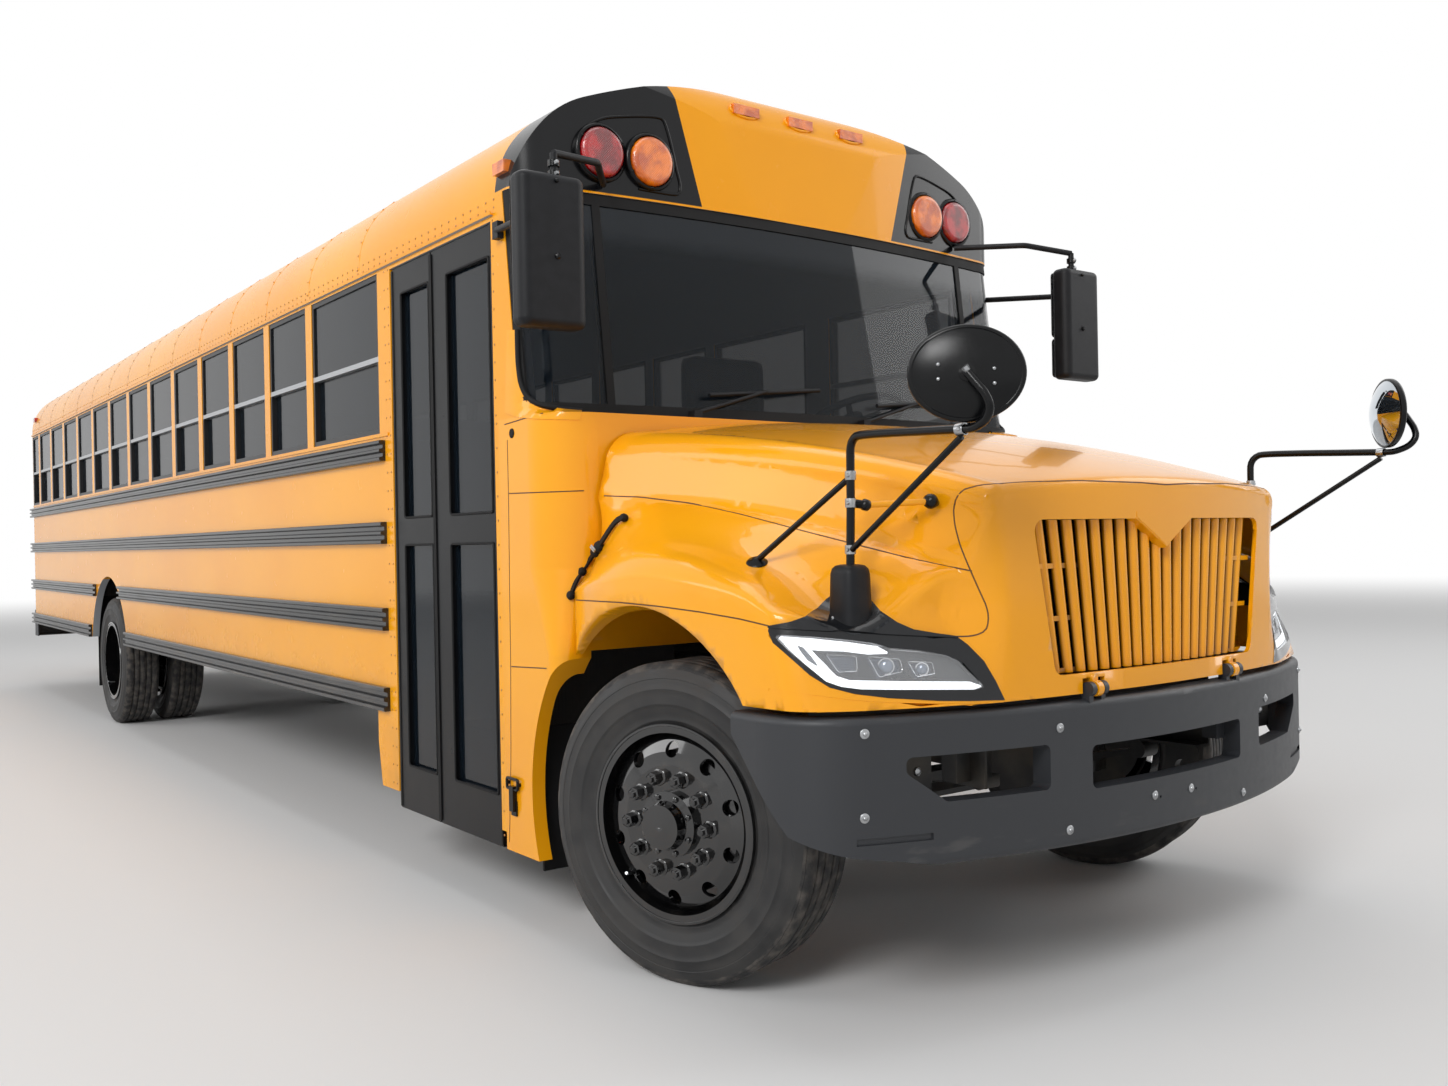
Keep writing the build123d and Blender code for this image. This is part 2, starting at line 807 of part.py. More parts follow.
def hood_rounded(inset, nose_round):
    """The filled hood with round fender corners and a round edge over its whole front."""
    shape = hood_filled(inset)
    corners = [
        edge
        for edge in front_edges(shape)
        if edge.bounding_box().size.Z > 300 and abs(edge.center().Y) > fender_corner_y
    ]
    shape = fillet(corners, fender_corner_round - inset)
    for over_dome in (False, True):
        rim = [
            edge
            for edge in front_edges(shape)
            if edge.bounding_box().size.Z < 200
            and edge.length > 60
            and (edge @ 0.5).Z > 1100
            and abs((edge @ 0.5).Y) < fender_corner_y + 50
            and (abs((edge @ 0.5).Y) < hood_seam_y) == over_dome
        ]
        shape = fillet(rim, nose_round)
    return shape


def front_edges(shape):
    """The edges round the hood's bowed front face."""
    return [edge for edge in shape.edges() if edge.bounding_box().min.X > hood_round_rear_x]


def arch_flange(inner, side):
    """The turned-in edge of the fender round the wheel opening."""
    outer_y = body_half_width + 10
    inner_y = body_half_width - arch_flange_depth
    drum = Cylinder(arch_radius + hood_wall, outer_y - inner_y)
    ring = Pos(0, side * (inner_y + outer_y) / 2, arch_centre_z) * Rot(90, 0, 0) * drum
    ring -= arch_cutter(0, 700, side)
    ring &= block((hood_rear_x, 2000), (-2000, 2000), (fascia_foot_z, 3000))
    return ring & inner


def hood_pieces():
    """The hood's shell with its fenders, and the headlights let into its front corners."""
    outer = hood_rounded(0, hood_nose_round)
    inner = hood_rounded(hood_wall, hood_inner_round)
    shell = outer - inner
    shell -= block((-2000, hood_rear_x), (-2000, 2000), (0, 3000))
    shell -= inner & block((-460, -300), (-2000, 2000), (0, 3000))
    shell -= block((-2000, 2000), (-2000, 2000), (0, fascia_foot_z))
    shell -= grille_cutter(0)
    lamp_back = hood_filled(headlight_depth)
    lamps = []
    for side in (-1, 1):
        shell -= arch_cutter(0, 700, side)
        shell += arch_flange(inner, side)
        outline = polygon(*[(side * y, z) for y, z in headlight_outline])
        prism = along_x(outline, headlight_rear_x, 1100)
        lamps.append((outer - lamp_back) & prism)
        shell -= prism
        y = side * hood_lug_y
        notch = (fascia_front_x - 80, fascia_front_x + 40)
        shell -= block(notch, (y - 44, y + 44), (0, hood_notch_z))
    return shell + hood_hinges(), lamps, outer


def grille_cutter(margin):
    """The grille's outline, with the pointed notch at its top, as a prism along X."""
    notch_y = grille_notch_y + margin
    outline = polygon(
        (-grille_foot_y - margin, grille_foot_z - margin),
        (grille_foot_y + margin, grille_foot_z - margin),
        (grille_top_y + margin, grille_top_z + margin),
        (notch_y, grille_top_z + margin),
        (0, grille_notch_z + margin),
        (-notch_y, grille_top_z + margin),
        (-grille_top_y - margin, grille_top_z + margin),
    )
    corners = outline.vertices()
    shoulders = [corner for corner in corners if 0 < abs(corner.X) <= notch_y]
    ends = [corner for corner in corners if abs(corner.X) > notch_y]
    outline = fillet(shoulders, grille_shoulder_round)
    return along_x(fillet(matching(outline, ends), grille_corner_round), 800, 1200)


def matching(shape, corners):
    """The shape's own corners that lie where the given ones do."""
    places = [corner.center() for corner in corners]
    return [
        corner
        for corner in shape.vertices()
        if min((corner.center() - place).length for place in places) < 0.01
    ]


def grille_slat(foot_y, top_y, front_x):
    """One upright slat, round at its front and leaning with the opening's side."""
    half = grille_slat_width / 2
    flat_x = front_x - grille_slat_nose
    back_x = front_x - grille_slat_depth
    section = make_face(
        [
            ThreePointArc((flat_x, foot_y - half), (front_x, foot_y), (flat_x, foot_y + half)),
            Line((flat_x, foot_y + half), (back_x, foot_y + half)),
            Line((back_x, foot_y + half), (back_x, foot_y - half)),
            Line((back_x, foot_y - half), (flat_x, foot_y - half)),
        ]
    )
    lean = Vector(0, top_y - foot_y, grille_top_z - grille_foot_z)
    return Pos(0, 0, grille_foot_z) * extrude(section, lean.length, dir=lean)


def grille():
    """Upright slats joined by bars behind them, filling the opening in the hood."""
    opening = grille_cutter(-1)
    shape = None
    for index in range(grille_count):
        share = 1 - (index + 1) * 2 / (grille_count + 1)
        front_x = fascia_front_x - grille_recess - share**2 * grille_bow
        slat = grille_slat(share * grille_foot_y, share * grille_top_y, front_x)
        shape = slat if shape is None else shape + slat
    bar_front_x = fascia_front_x - grille_recess - grille_slat_depth + 6
    bar_x = (bar_front_x - grille_bow - 12, bar_front_x)
    for low_z in grille_bar_places:
        shape += block(bar_x, (-grille_top_y, grille_top_y), (low_z, low_z + grille_bar_height))
    return shape & opening


def hood_hinges():
    """Two lugs below the grille, bored for the hinge pins."""
    solids = None
    for side in (-1, 1):
        y = side * hood_lug_y
        span_y = (y - hood_lug_half, y + hood_lug_half)
        lug = block((fascia_front_x - 50, hood_pivot_x), span_y, (hood_pivot_z, hood_lug_top_z))
        lug += Pos(hood_pivot_x, y, hood_pivot_z) * Rot(90, 0, 0) * Cylinder(22, 2 * hood_lug_half)
        lug -= Pos(hood_pivot_x, y, hood_pivot_z) * Rot(90, 0, 0) * Cylinder(
            hinge_pin + running_clearance, 60
        )
        solids = lug if solids is None else solids + lug
    return solids


def dish(centre, side):
    """A round convex mirror in a shallow dish, facing back and inward at 45 degrees."""
    half = make_face(
        [
            Line((0, -dish_depth), (0, dish_rim + dish_bulge)),
            ThreePointArc(
                (0, dish_rim + dish_bulge),
                (dish_radius * 0.55, dish_rim + dish_bulge * 0.7),
                (dish_radius - 8, dish_rim),
            ),
            Line((dish_radius - 8, dish_rim), (dish_radius, dish_rim - 4)),
            Line((dish_radius, dish_rim - 4), (dish_radius, 0)),
            ThreePointArc(
                (dish_radius, 0), (dish_radius * 0.55, -dish_depth * 0.7), (0, -dish_depth)
            ),
        ]
    )
    bowl = revolve(Plane.XZ * half, Axis.Z)
    return Pos(*centre) * Rot(0, 0, 45 * side) * Rot(0, -90, 0) * bowl


def crossover_mirrors(hood_outer):
    """Convex mirrors on braced tubular arms that stand on the fenders."""
    solids = []
    for side in (-1, 1):
        foot, bend, elbow, ball, centre, brace_foot, brace_top, stay_foot = [
            (x, side * y, z) for x, y, z in crossover_places
        ]
        arm = bent_tube([foot, bend, elbow], crossover_tube, 60)
        arm += bent_tube([elbow, ball, centre], crossover_rod, 20)
        arm += Pos(*elbow) * Sphere(crossover_tube + 5)
        arm += rod(stay_foot, elbow, crossover_rod)
        arm += rod(brace_foot, brace_top, crossover_rod)
        arm += Pos(foot[0], foot[1], crossover_base_z) * Cylinder(48, 110)
        solids.append(arm + dish(centre, side) - hood_outer)
    return solids


def side_mirrors():
    """Tall rear-view mirrors hung from the front cap and the door post on bent arms."""
    solids = []
    for side in (-1, 1):
        head = Pos(-300, side * 1315, 2245) * Box(90, 236, 480)
        head = fillet(head.edges().filter_by(Axis.Z), 34)
        head = fillet(head.faces().filter_by(Axis.Z).edges(), 24)
        top = (-300, side * 1290, 2560)
        arm = bent_tube([(-628, side * 905, 2600), (-380, side * 1080, 2585), top], 12, 60)
        arm += rod(top, (-300, side * 1290, 2450), 12)
        arm += rod((-800, side * 1235, 2430), (-300, side * 1330, 2380), 12)
        pad = sorted((side * body_half_width, side * (body_half_width + 24)))
        arm += block((-825, -785), pad, (2400, 2460))
        solids.append(head + arm)
    return solids


def front_bumper():
    """A deep bowed bumper with wrapped ends, a centre opening and a lamp bay each side."""

    def filled(inset):
        plan = bowed_plan(
            bumper_front_x - inset, bumper_end_x, body_half_width - inset, 260 - inset, bumper_bow_radius
        )
        return along_z(plan, bumper_foot_z, bumper_top_z)

    outer = filled(0)
    rims = [
        edge
        for edge in outer.edges()
        if edge.bounding_box().size.Z < 1 and edge.center().X > bumper_end_x + 10
    ]
    shape = fillet(rims, bumper_round) - filled(bumper_wall)
    shape -= block((-500, bumper_end_x + 1), (-2000, 2000), (0, 2000))
    end = polygon(
        (bumper_end_x - 10, bumper_foot_z - 10),
        (900, bumper_foot_z - 10),
        (860, bumper_foot_z + 20),
        (680, bumper_foot_z + 90),
        (bumper_end_x, bumper_top_z - 60),
    )
    shape -= along_y(end, -2000, 2000)
    for side in (-1, 1):
        for outline in (bumper_centre_outline, bumper_bay_outline):
            opening = polygon(*[(side * y, z) for y, z in outline])
            round_corners = [corner for corner in opening.vertices() if abs(corner.X) > 1]
            shape -= along_x(fillet(round_corners, bumper_opening_round), 600, 1200)
        slot = block((600, 1200), sorted((side * 880, side * 1080)), (545, 563))
        shape -= slot & (filled(0) - filled(bumper_slot_depth))
        y = side * plate_bolt_spacing / 2
        shape -= Pos(1000, y, plate_bolt_z) * Rot(0, 90, 0) * Cylinder(plate_bolt_radius, 400)
        y = side * (rail_outer_y - 60)
        shape += block((bumper_pad_x, bumper_pad_x + 50), (y - 45, y + 45), (680, 800))
        shape += hood_pin_lugs(side)
    return shape


def hood_pin_lugs(side):
    """Two ears on the bumper's top that hold one of the hood's hinge pins."""
    y = side * hood_lug_y
    shape = Pos(hood_pivot_x, y, hood_pivot_z) * Rot(90, 0, 0) * Cylinder(hinge_pin, 72)
    for offset in (-27, 27):
        ear_x = (hood_pivot_x - 22, hood_pivot_x + 6)
        ear_z = (bumper_top_z - 20, hood_pivot_z)
        ear = block(ear_x, (y + offset - 9, y + offset + 9), ear_z)
        ear += Pos(hood_pivot_x, y + offset, hood_pivot_z) * Rot(90, 0, 0) * Cylinder(20, 18)
        shape += ear
    return shape


def chassis():
    """Two channel rails joined by cross-members, with tow eyes and the hood's hinge pins."""
    foot_z = rail_top_z - rail_height
    shape = None
    for side in (-1, 1):
        outer = side * rail_outer_y
        web = sorted((outer, outer - side * rail_web))
        flange = sorted((outer, outer - side * rail_flange))
        rail = block((frame_rear_x, frame_front_x), web, (foot_z, rail_top_z))
        rail += block((frame_rear_x, frame_front_x), flange, (foot_z, foot_z + rail_web))
        rail += block((frame_rear_x, frame_front_x), flange, (rail_top_z - rail_web, rail_top_z))
        shape = rail if shape is None else shape + rail
    inner = rail_outer_y - rail_web
    for x in cross_member_places:
        shape += block((x - 40, x + 40), (-inner, inner), (rail_top_z - 95, rail_top_z))
    for side in (-1, 1):
        y = side * (rail_outer_y - 60)
        arm = block((frame_front_x - 60, bumper_pad_x), (y - 30, y + 30), (700, 780))
        shape += arm
        y = side * tow_eye_y
        for x, z in tow_eyes:
            plate = block((x - 60, x + 60), (y - 14, y + 14), (z - 60, foot_z + 5))
            plate -= Pos(x, y, z) * Rot(90, 0, 0) * Cylinder(tow_eye_radius, 60)
            shape += plate
        for end in (-1, 1):
            x = rear_axle_x + end * rear_spring_reach
            hanger = sorted((side * rail_outer_y, side * (rail_outer_y + 80)))
            shape += block((x - 40, x + 40), hanger, (rear_spring_eye_z + spring_eye, 780))
    return shape


def cross_sills():
    """Channel sills across the chassis that carry the floor."""
    solids = []
    x = -2100
    while x > body_rear_x + 200:
        over_wheel = abs(x - rear_axle_x) < arch_radius + 60
        if not over_wheel:
            half = half_inner() - 20
            solids.append(block((x - 25, x + 25), (-half, half), (rail_top_z, floor_z - floor_thickness)))
        x -= 700
    return solids


def engine():
    return block((-330, 560), (-330, 330), (660, 1380))


def transmission():
    """The gearbox behind the engine, tapering to its output flange."""
    start = Plane.YZ.offset(-331) * Pos(0, 760) * Circle(230)
    middle = Plane.YZ.offset(-600) * Pos(0, 750) * Circle(180)
    end = Plane.YZ.offset(-1120) * Pos(0, 720) * Circle(95)
    return loft([end, middle, start], ruled=True)


def radiator():
    return block((690, 770), (-345, 345), (720, 1340))


def fuel_tank():
    tank = block((-9800, -8500), (-345, 345), (480, 860))
    return fillet(tank.edges().filter_by(Axis.X), 60)


def drive_shaft():
    """A tube in two lengths from the gearbox to the rear axle."""
    shape = rod((-1121, 0, 720), (-4300, 0, 650), 50)
    shape += Pos(-4300, 0, 650) * Sphere(75)
    shape += rod((-4300, 0, 650), (-7300, 0, 500), 50)
    return shape


def exhaust():
    """A silencer under the left side and a tail pipe to the rear."""
    silencer = rod((-3700, 640, 760), (-2600, 640, 760), 130)
    front = bent_tube(
        [
            (-2610, 640, 760),
            (-2300, 640, 760),
            (-1950, 590, 585),
            (-1250, 560, 585),
            (-960, 270, 585),
            (-330, 270, 585),
            (-220, 270, 720),
        ],
        42,
        90,
    )
    front -= engine()
    tail = bent_tube(
        [
            (-3690, 640, 760),
            (-4000, 640, 760),
            (-4500, 556, 840),
            (-10500, 556, 840),
            (-10950, 600, 430),
            (-11240, 600, 430),
        ],
        38,
        150,
    )
    return silencer + front + tail


def front_axle():
    """A dropped beam with an eye for the kingpin at each end."""
    shape = None
    eye_z = tyre_radius
    points = (
        (-kingpin_y + 20, eye_z - 34),
        (-rail_outer_y - 120, 405),
        (rail_outer_y + 120, 405),
        (kingpin_y - 20, eye_z - 34),
        (kingpin_y - 20, eye_z + 34),
        (rail_outer_y + 100, 495),
        (-rail_outer_y - 100, 495),
        (-kingpin_y + 20, eye_z + 34),
    )
    shape = along_x(polygon(*points), -45, 45)
    for side in (-1, 1):
        y = side * kingpin_y
        shape += Pos(0, y, eye_z) * Cylinder(45, 100)
        shape += Pos(0, y, eye_z) * Cylinder(kingpin_radius, 216)
    return shape


def steered(side, shape):
    """Place a shape drawn about its kingpin, turned to the angle that the wheels stand at."""
    return Pos(0, side * kingpin_y, tyre_radius) * Rot(0, 0, rest_steer) * shape


def outward(side):
    """The turn that points a wheel's own +Z axis away from the bus."""
    return Rot(-90 * side, 0, 0)


def knuckle(side):
    """The yoke that swings on the kingpin, with its spindle, arm and brake plate."""
    yoke_y = sorted((side * 52, side * 78))
    yoke = block((-48, 48), yoke_y, (-110, 110))
    for z in (-82, 82):
        yoke += Pos(0, 0, z) * Cylinder(46, 52)
        reach = sorted((0, side * 60))
        yoke += block((-46, 46), reach, (z - 26, z + 26))
    yoke -= Cylinder(kingpin_radius + running_clearance, 300)
    spindle = outward(side) * Pos(0, 0, 78) * Cylinder(
        spindle_radius, 150, align=(Align.CENTER, Align.CENTER, Align.MIN)
    )
    plate = outward(side) * Pos(0, 0, 78) * Cylinder(
        185, 6, align=(Align.CENTER, Align.CENTER, Align.MIN)
    )
    pin_x, pin_y = steer_arm_end
    arm = polygon(
        (-40, side * 76),
        (-40, side * 40),
        (pin_x + 6, -side * (pin_y + 24)),
        (pin_x - 24, -side * (pin_y + 4)),
        (pin_x - 12, -side * (pin_y - 24)),
        (-70, side * 76),
    )
    shape = yoke + spindle + plate + along_z(arm, -114, -88)
    if side < 0:
        shape += Pos(pin_x, -side * pin_y, -128) * Cylinder(tie_pin_radius, 50)
    return shape


def arm_end(side):
    """Where a steering arm's end stands at rest."""
    turn = math.radians(rest_steer)
    back, inward = steer_arm_end
    y = -side * inward
    x = back * math.cos(turn) - y * math.sin(turn)
    return (x, side * kingpin_y + back * math.sin(turn) + y * math.cos(turn), tie_rod_z)


def tie_rod():
    """The bar between the steering arms, with an eye at each end."""
    start, end = arm_end(-1), arm_end(1)
    shape = rod(start, end, 14)
    for place in (start, end):
        shape += Pos(*place) * Cylinder(27, 30)
        shape -= Pos(*place) * Cylinder(tie_pin_radius + running_clearance, 60)
    return shape


def tyre():
    """A tyre about Z with round shoulders, open at the beads."""
    half = tyre_width / 2
    profile = make_face(
        [
            Line((bead_radius, -105), (bead_radius, 105)),
            Line((bead_radius, 105), (rim_radius + 3, 105)),
            ThreePointArc((rim_radius + 3, 105), (385, half), (tyre_radius - 30, half - 14)),
            ThreePointArc(
                (tyre_radius - 30, half - 14), (tyre_radius - 7, half - 24), (tyre_radius, half - 46)
            ),
            Line((tyre_radius, half - 46), (tyre_radius, 46 - half)),
            ThreePointArc(
                (tyre_radius, 46 - half), (tyre_radius - 7, 24 - half), (tyre_radius - 30, 14 - half)
            ),
            ThreePointArc((tyre_radius - 30, 14 - half), (385, -half), (rim_radius + 3, -105)),
            Line((rim_radius + 3, -105), (bead_radius, -105)),
        ]
    )
    return revolve(Plane.XZ * profile, Axis.Z)


def rim_barrel():
    """The rolled rim about Z: a barrel with a flange at each edge."""
    half = rim_width / 2
    return turned(
        (
            (rim_barrel_radius, -half),
            (rim_radius, -half),
            (rim_radius, -105.5),
            (bead_radius - 0.5, -105.5),
            (bead_radius - 0.5, 105.5),
            (rim_radius, 105.5),
            (rim_radius, half),
            (rim_barrel_radius, half),
        )
    )


def studs(circle, start, length, radius):
    """A ring of wheel nuts about Z."""
    return [
        Rot(0, 0, index * 360 / stud_count)
        * Pos(circle, 0, start)
        * Cylinder(radius, length, align=(Align.CENTER, Align.CENTER, Align.MIN))
        for index in range(stud_count)
    ]


def hand_holes(circle, radius):
    return [
        Rot(0, 0, (index + 0.5) * 36) * Pos(circle, 0, 0) * Cylinder(radius, 800)
        for index in range(stud_count)
    ]


def front_wheel():
    """A steered wheel about Z: rim, outward-bulging disc, hub with nuts and brake drum."""
    face = front_disc_face
    shape = rim_barrel()
    shape += turned(
        (
            (rim_barrel_radius + 2, 58),
            (rim_barrel_radius + 2, 72),
            (250, 96),
            (215, face - 4),
            (175, face + 2),
            (95, face + 2),
            (95, face - 10),
            (172, face - 10),
            (208, face - 17),
            (240, 84),
            (258, 62),
        )
    )
    for hole in hand_holes(222, 24):
        shape -= hole & Pos(0, 0, face - 20) * Cylinder(400, 120)
    bore = spindle_radius + running_clearance
    shape += turned(
        (
            (bore, 10),
            (112, 10),
            (112, face - 10),
            (165, face - 10),
            (165, face - 25),
            (216, face - 40),
            (216, 8),
            (206, 8),
            (206, face - 46),
            (130, face - 30),
            (130, 2),
            (bore, 2),
        )
    )
    shape += turned(
        (
            (0, spindle_end + 6),
            (bore, spindle_end + 6),
            (bore, 10),
            (100, 10),
            (100, face + 22),
            (74, face + 26),
            (66, face + 58),
            (0, face + 62),
        )
    )
    for nut in studs(stud_circle, face, 40, 17):
        shape += nut
    return shape


def rear_wheels():
    """Twin wheels about Z, the middle of the pair at z = 0, with hub, drum and nuts."""
    half = dual_spacing / 2
    shape = None
    for side in (-1, 1):
        rim = Pos(0, 0, side * half) * rim_barrel()
        disc = turned(
            (
                (rim_barrel_radius + 2, side * 62),
                (rim_barrel_radius + 2, side * 76),
                (250, side * 74),
                (205, side * 18),
                (180, side * 11),
                (70, side * 11),
                (70, 0),
                (186, 0),
                (214, side * 8),
                (256, side * 56),
            )
        )
        for hole in hand_holes(228, 23):
            disc -= hole
        rim += disc
        shape = rim if shape is None else shape + rim
    bore = axle_tube_radius + running_clearance
    shape += turned(((bore, -215), (112, -215), (112, 12), (bore, 12)))
    shape += turned(((bore, -64), (216, -64), (216, -226), (206, -226), (206, -76), (bore, -76)))
    shape += turned(((0, 22), (bore + 2, 22), (bore + 2, 10), (120, 10), (108, 52), (76, 56), (70, 74), (0, 76)))
    for nut in studs(stud_circle, 10, 42, 17):
        shape += nut
    return shape


def rear_axle():
    """The live axle: a tube with the round centre housing and its nose."""
    end_y = dual_middle_y - 4
    shape = rod((rear_axle_x, -end_y, tyre_radius), (rear_axle_x, end_y, tyre_radius), axle_tube_radius)
    shape += Pos(rear_axle_x, 0, tyre_radius) * Rot(90, 0, 0) * Pos(0, 0, 0) * Sphere(185)
    shape += rod((rear_axle_x, 0, tyre_radius), (rear_axle_x + 228, 0, tyre_radius + 15), 85)
    return shape


def leaf_springs():
    """Stacked leaves with their eyes, under the rails in front and outside them behind."""
    solids = []
    rows = (
        (0, rail_outer_y - 38, 640, 496, rail_top_z - rail_height - spring_eye),
        (rear_axle_x, rail_outer_y + 42, rear_spring_reach, 546, rear_spring_eye_z),
    )
    for axle_x, y, reach, seat_z, eye_z in rows:
        for side in (-1, 1):
            outline = polygon(
                (axle_x - reach, eye_z - 10),
                (axle_x - reach * 0.5, seat_z + 8),
                (axle_x - 60, seat_z),
                (axle_x + 60, seat_z),
                (axle_x + reach * 0.5, seat_z + 8),
                (axle_x + reach, eye_z - 10),
                (axle_x + reach, eye_z + 2),
                (axle_x + reach * 0.5, seat_z + 50),
                (axle_x + 60, seat_z + 62),
                (axle_x - 60, seat_z + 62),
                (axle_x - reach * 0.5, seat_z + 50),
                (axle_x - reach, eye_z + 2),
            )
            low_y, high_y = sorted((side * (y - 38), side * (y + 38)))
            spring = along_y(outline, low_y, high_y)
            for end in (-1, 1):
                eye = Pos(axle_x + end * reach, side * y, eye_z) * Rot(90, 0, 0)
                spring += eye * Cylinder(spring_eye, 76)
            solids.append(spring)
    return solids


def rear_bumper():
    """A flat pressed bumper across the rear, with turned-in ends, on two arms."""
    shape = block((-rear_reach, -rear_reach + 10), (-1180, 1180), (500, 760))
    for z in (500, 750):
        shape += block((-rear_reach, -rear_reach + 80), (-1180, 1180), (z, z + 10))
    for side in (-1, 1):
        shape += block((-rear_reach, body_rear_x - 2), sorted((side * 1180, side * 1190)), (500, 760))
        y = side * (rail_outer_y - 55)
        shape += block((-rear_reach + 10, frame_rear_x + 200), (y - 15, y + 15), (556, rail_top_z - rail_height))
    return shape


def mud_flaps():
    solids = []
    for side in (-1, 1):
        span_y = sorted((side * 620, side * 1165))
        solids.append(block((rear_axle_x - 700, rear_axle_x - 690), span_y, (230, floor_z - 40)))
        span_y = sorted((side * 960, side * 1165))
        solids.append(block((-690, -680), span_y, (200, 700)))
    return solids


def round_lamp(x, y, z, radius, depth, facing):
    """A lamp with a domed face, standing out along X."""
    body = Cylinder(radius, depth, align=(Align.CENTER, Align.CENTER, Align.MIN))
    body = fillet(body.edges().group_by(Axis.Z)[-1], depth * 0.3)
    return Pos(x, y, z) * Rot(0, 90 * facing, 0) * body


def cap_front_x(y):
    return screen_head_x - 8 - front_bow_radius + math.sqrt(front_bow_radius**2 - y**2)


def front_lamps():
    """Red and amber warning lamps in the front cap and the small amber lamps above them."""
    red = []
    amber = []
    cap = cap_solid(0)
    for side in (-1, 1):
        for (y, z), group in zip(cap_lamps, (red, amber)):
            x = cap_front_x(y) - 30
            group.append(round_lamp(x, side * y, z, lamp_radius, lamp_depth + 22, 1) - cap)
    for index in (-1, 0, 1):
        lamp = block((-700, -600), (index * 272 - 62, index * 272 + 62), (2955, 2992))
        amber.append(lamp - cap)
    for side in (-1, 1):
        amber.append(corner_lamp(cap_rear_x + 4, side) - cap)
    return red, amber


def corner_lamp(rear_x, side):
    """A clearance lamp on the roof's corner, to be trimmed to the surface below it."""
    span_y = sorted((side * (body_half_width - 60), side * (body_half_width + 8)))
    return block((rear_x, rear_x + 84), span_y, (2630, 2672))


def rear_lamps():
    """Warning, stop, turn and reversing lamps on the rear wall."""
    red = []
    amber = []
    for side in (-1, 1):
        rows = (
            (908, 2650, lamp_radius, red),
            (710, 2650, lamp_radius, amber),
            (980, 1600, lamp_radius, red),
            (980, 1390, lamp_radius, amber),
        )
        for y, z, radius, group in rows:
            group.append(round_lamp(body_rear_x, side * y, z, radius, lamp_depth - 8, -1))
        roof_x = body_rear_x + rear_cap_depth
        body = along_x(body_outline(0, skirt_z), roof_x, roof_x + 200)
        red.append(corner_lamp(roof_x + 50, side) - body)
    return red, amber


def dashboard():
    outline = polygon((-560, 1300), (-560, 1745), (-700, 1750), (-900, 1640), (-930, 1560), (-860, 1300))
    return along_y(outline, -1040, 1040)


def steering_wheel():
    """Rim, hub and four spokes about the column's axis."""
    shape = Torus(wheel_radius, 16)
    shape += Cylinder(55, 50)
    for index in range(4):
        spoke = Pos(wheel_radius / 2, 0, 0) * Box(wheel_radius, 26, 14)
        shape += Rot(0, 0, 45 + 90 * index) * spoke
    return Pos(*wheel_centre) * Rot(0, -wheel_tilt, 0) * shape


def steering_column():
    lean = math.radians(wheel_tilt)
    top = [wheel_centre[0] + 30 * math.sin(lean), wheel_centre[1], wheel_centre[2] - 30 * math.cos(lean)]
    foot = (wheel_centre[0] + 330 * math.sin(lean), wheel_centre[1], wheel_centre[2] - 330 * math.cos(lean))
    return rod(top, foot, 24)


def driver_seat():
    """Cushion, back and pedestal of the driver's seat."""
    cushion = block((-1900, -1400), (360, 860), (1470, 1600))
    back = block((-2000, -1900), (370, 850), (1530, 2260))
    pedestal = block((-1800, -1500), (450, 770), (floor_z, 1470))
    return cushion, back, pedestal


def seats():
    """Bench cushions, tall backs and their leg frames, in two rows of benches."""
    pads = []
    frames = []
    outer = half_inner() - 12
    for row in range(seat_rows):
        x = seat_first_x - row * seat_pitch
        for side in (-1, 1):
            span_y = sorted((side * (outer - seat_width), side * outer))
            pads.append(block((x - 380, x), span_y, seat_cushion_z))
            pads.append(block((x - 470, x - 385), span_y, (1400, seat_back_top_z)))
            over_box = abs(x - 190 - rear_axle_x) < arch_radius + 240
            foot_z = arch_centre_z + arch_radius + 12 if over_box else floor_z
            leg_y = side * (outer - seat_width + 40)
            frame = block((x - 360, x - 20), (leg_y - 15, leg_y + 15), (foot_z, foot_z + 12))
            frame += block((x - 340, x - 310), (leg_y - 15, leg_y + 15), (foot_z, seat_cushion_z[0]))
            frame += block((x - 80, x - 50), (leg_y - 15, leg_y + 15), (foot_z, seat_cushion_z[0]))
            rail_y = sorted((side * (outer - seat_width + 20), side * outer))
            frame += block((x - 345, x - 305), rail_y, (seat_cushion_z[0] - 30, seat_cushion_z[0]))
            frames.append(frame)
    return pads, frames


def barrier():
    """Padded crash barriers in front of the first seats, and the rails by the steps."""
    outer = half_inner() - 12
    solids = []
    solids.append(block((-2080, -2030), (-outer, -outer + 900), (1120, 1800)))
    solids.append(block((-2140, -2090), (outer - 900, outer), (1120, 2000)))
    return solids


def door_leaf(hinge_x, edge_x, glass_x):
    """One leaf of the entrance door and its two panes."""
    inner_y = -body_half_width + leaf_inset + leaf_thickness
    span_y = (-body_half_width + leaf_inset, inner_y)
    leaf = block((hinge_x, edge_x), span_y, (door_foot_z, door_head_z))
    glass = []
    for span_z in leaf_glass_heights:
        leaf -= block(glass_x, (span_y[0] - 5, span_y[1] + 5), span_z)
        middle_y = (span_y[0] + span_y[1]) / 2
        glass.append(block(glass_x, (middle_y - pane / 2, middle_y + pane / 2), span_z))
    return leaf, glass


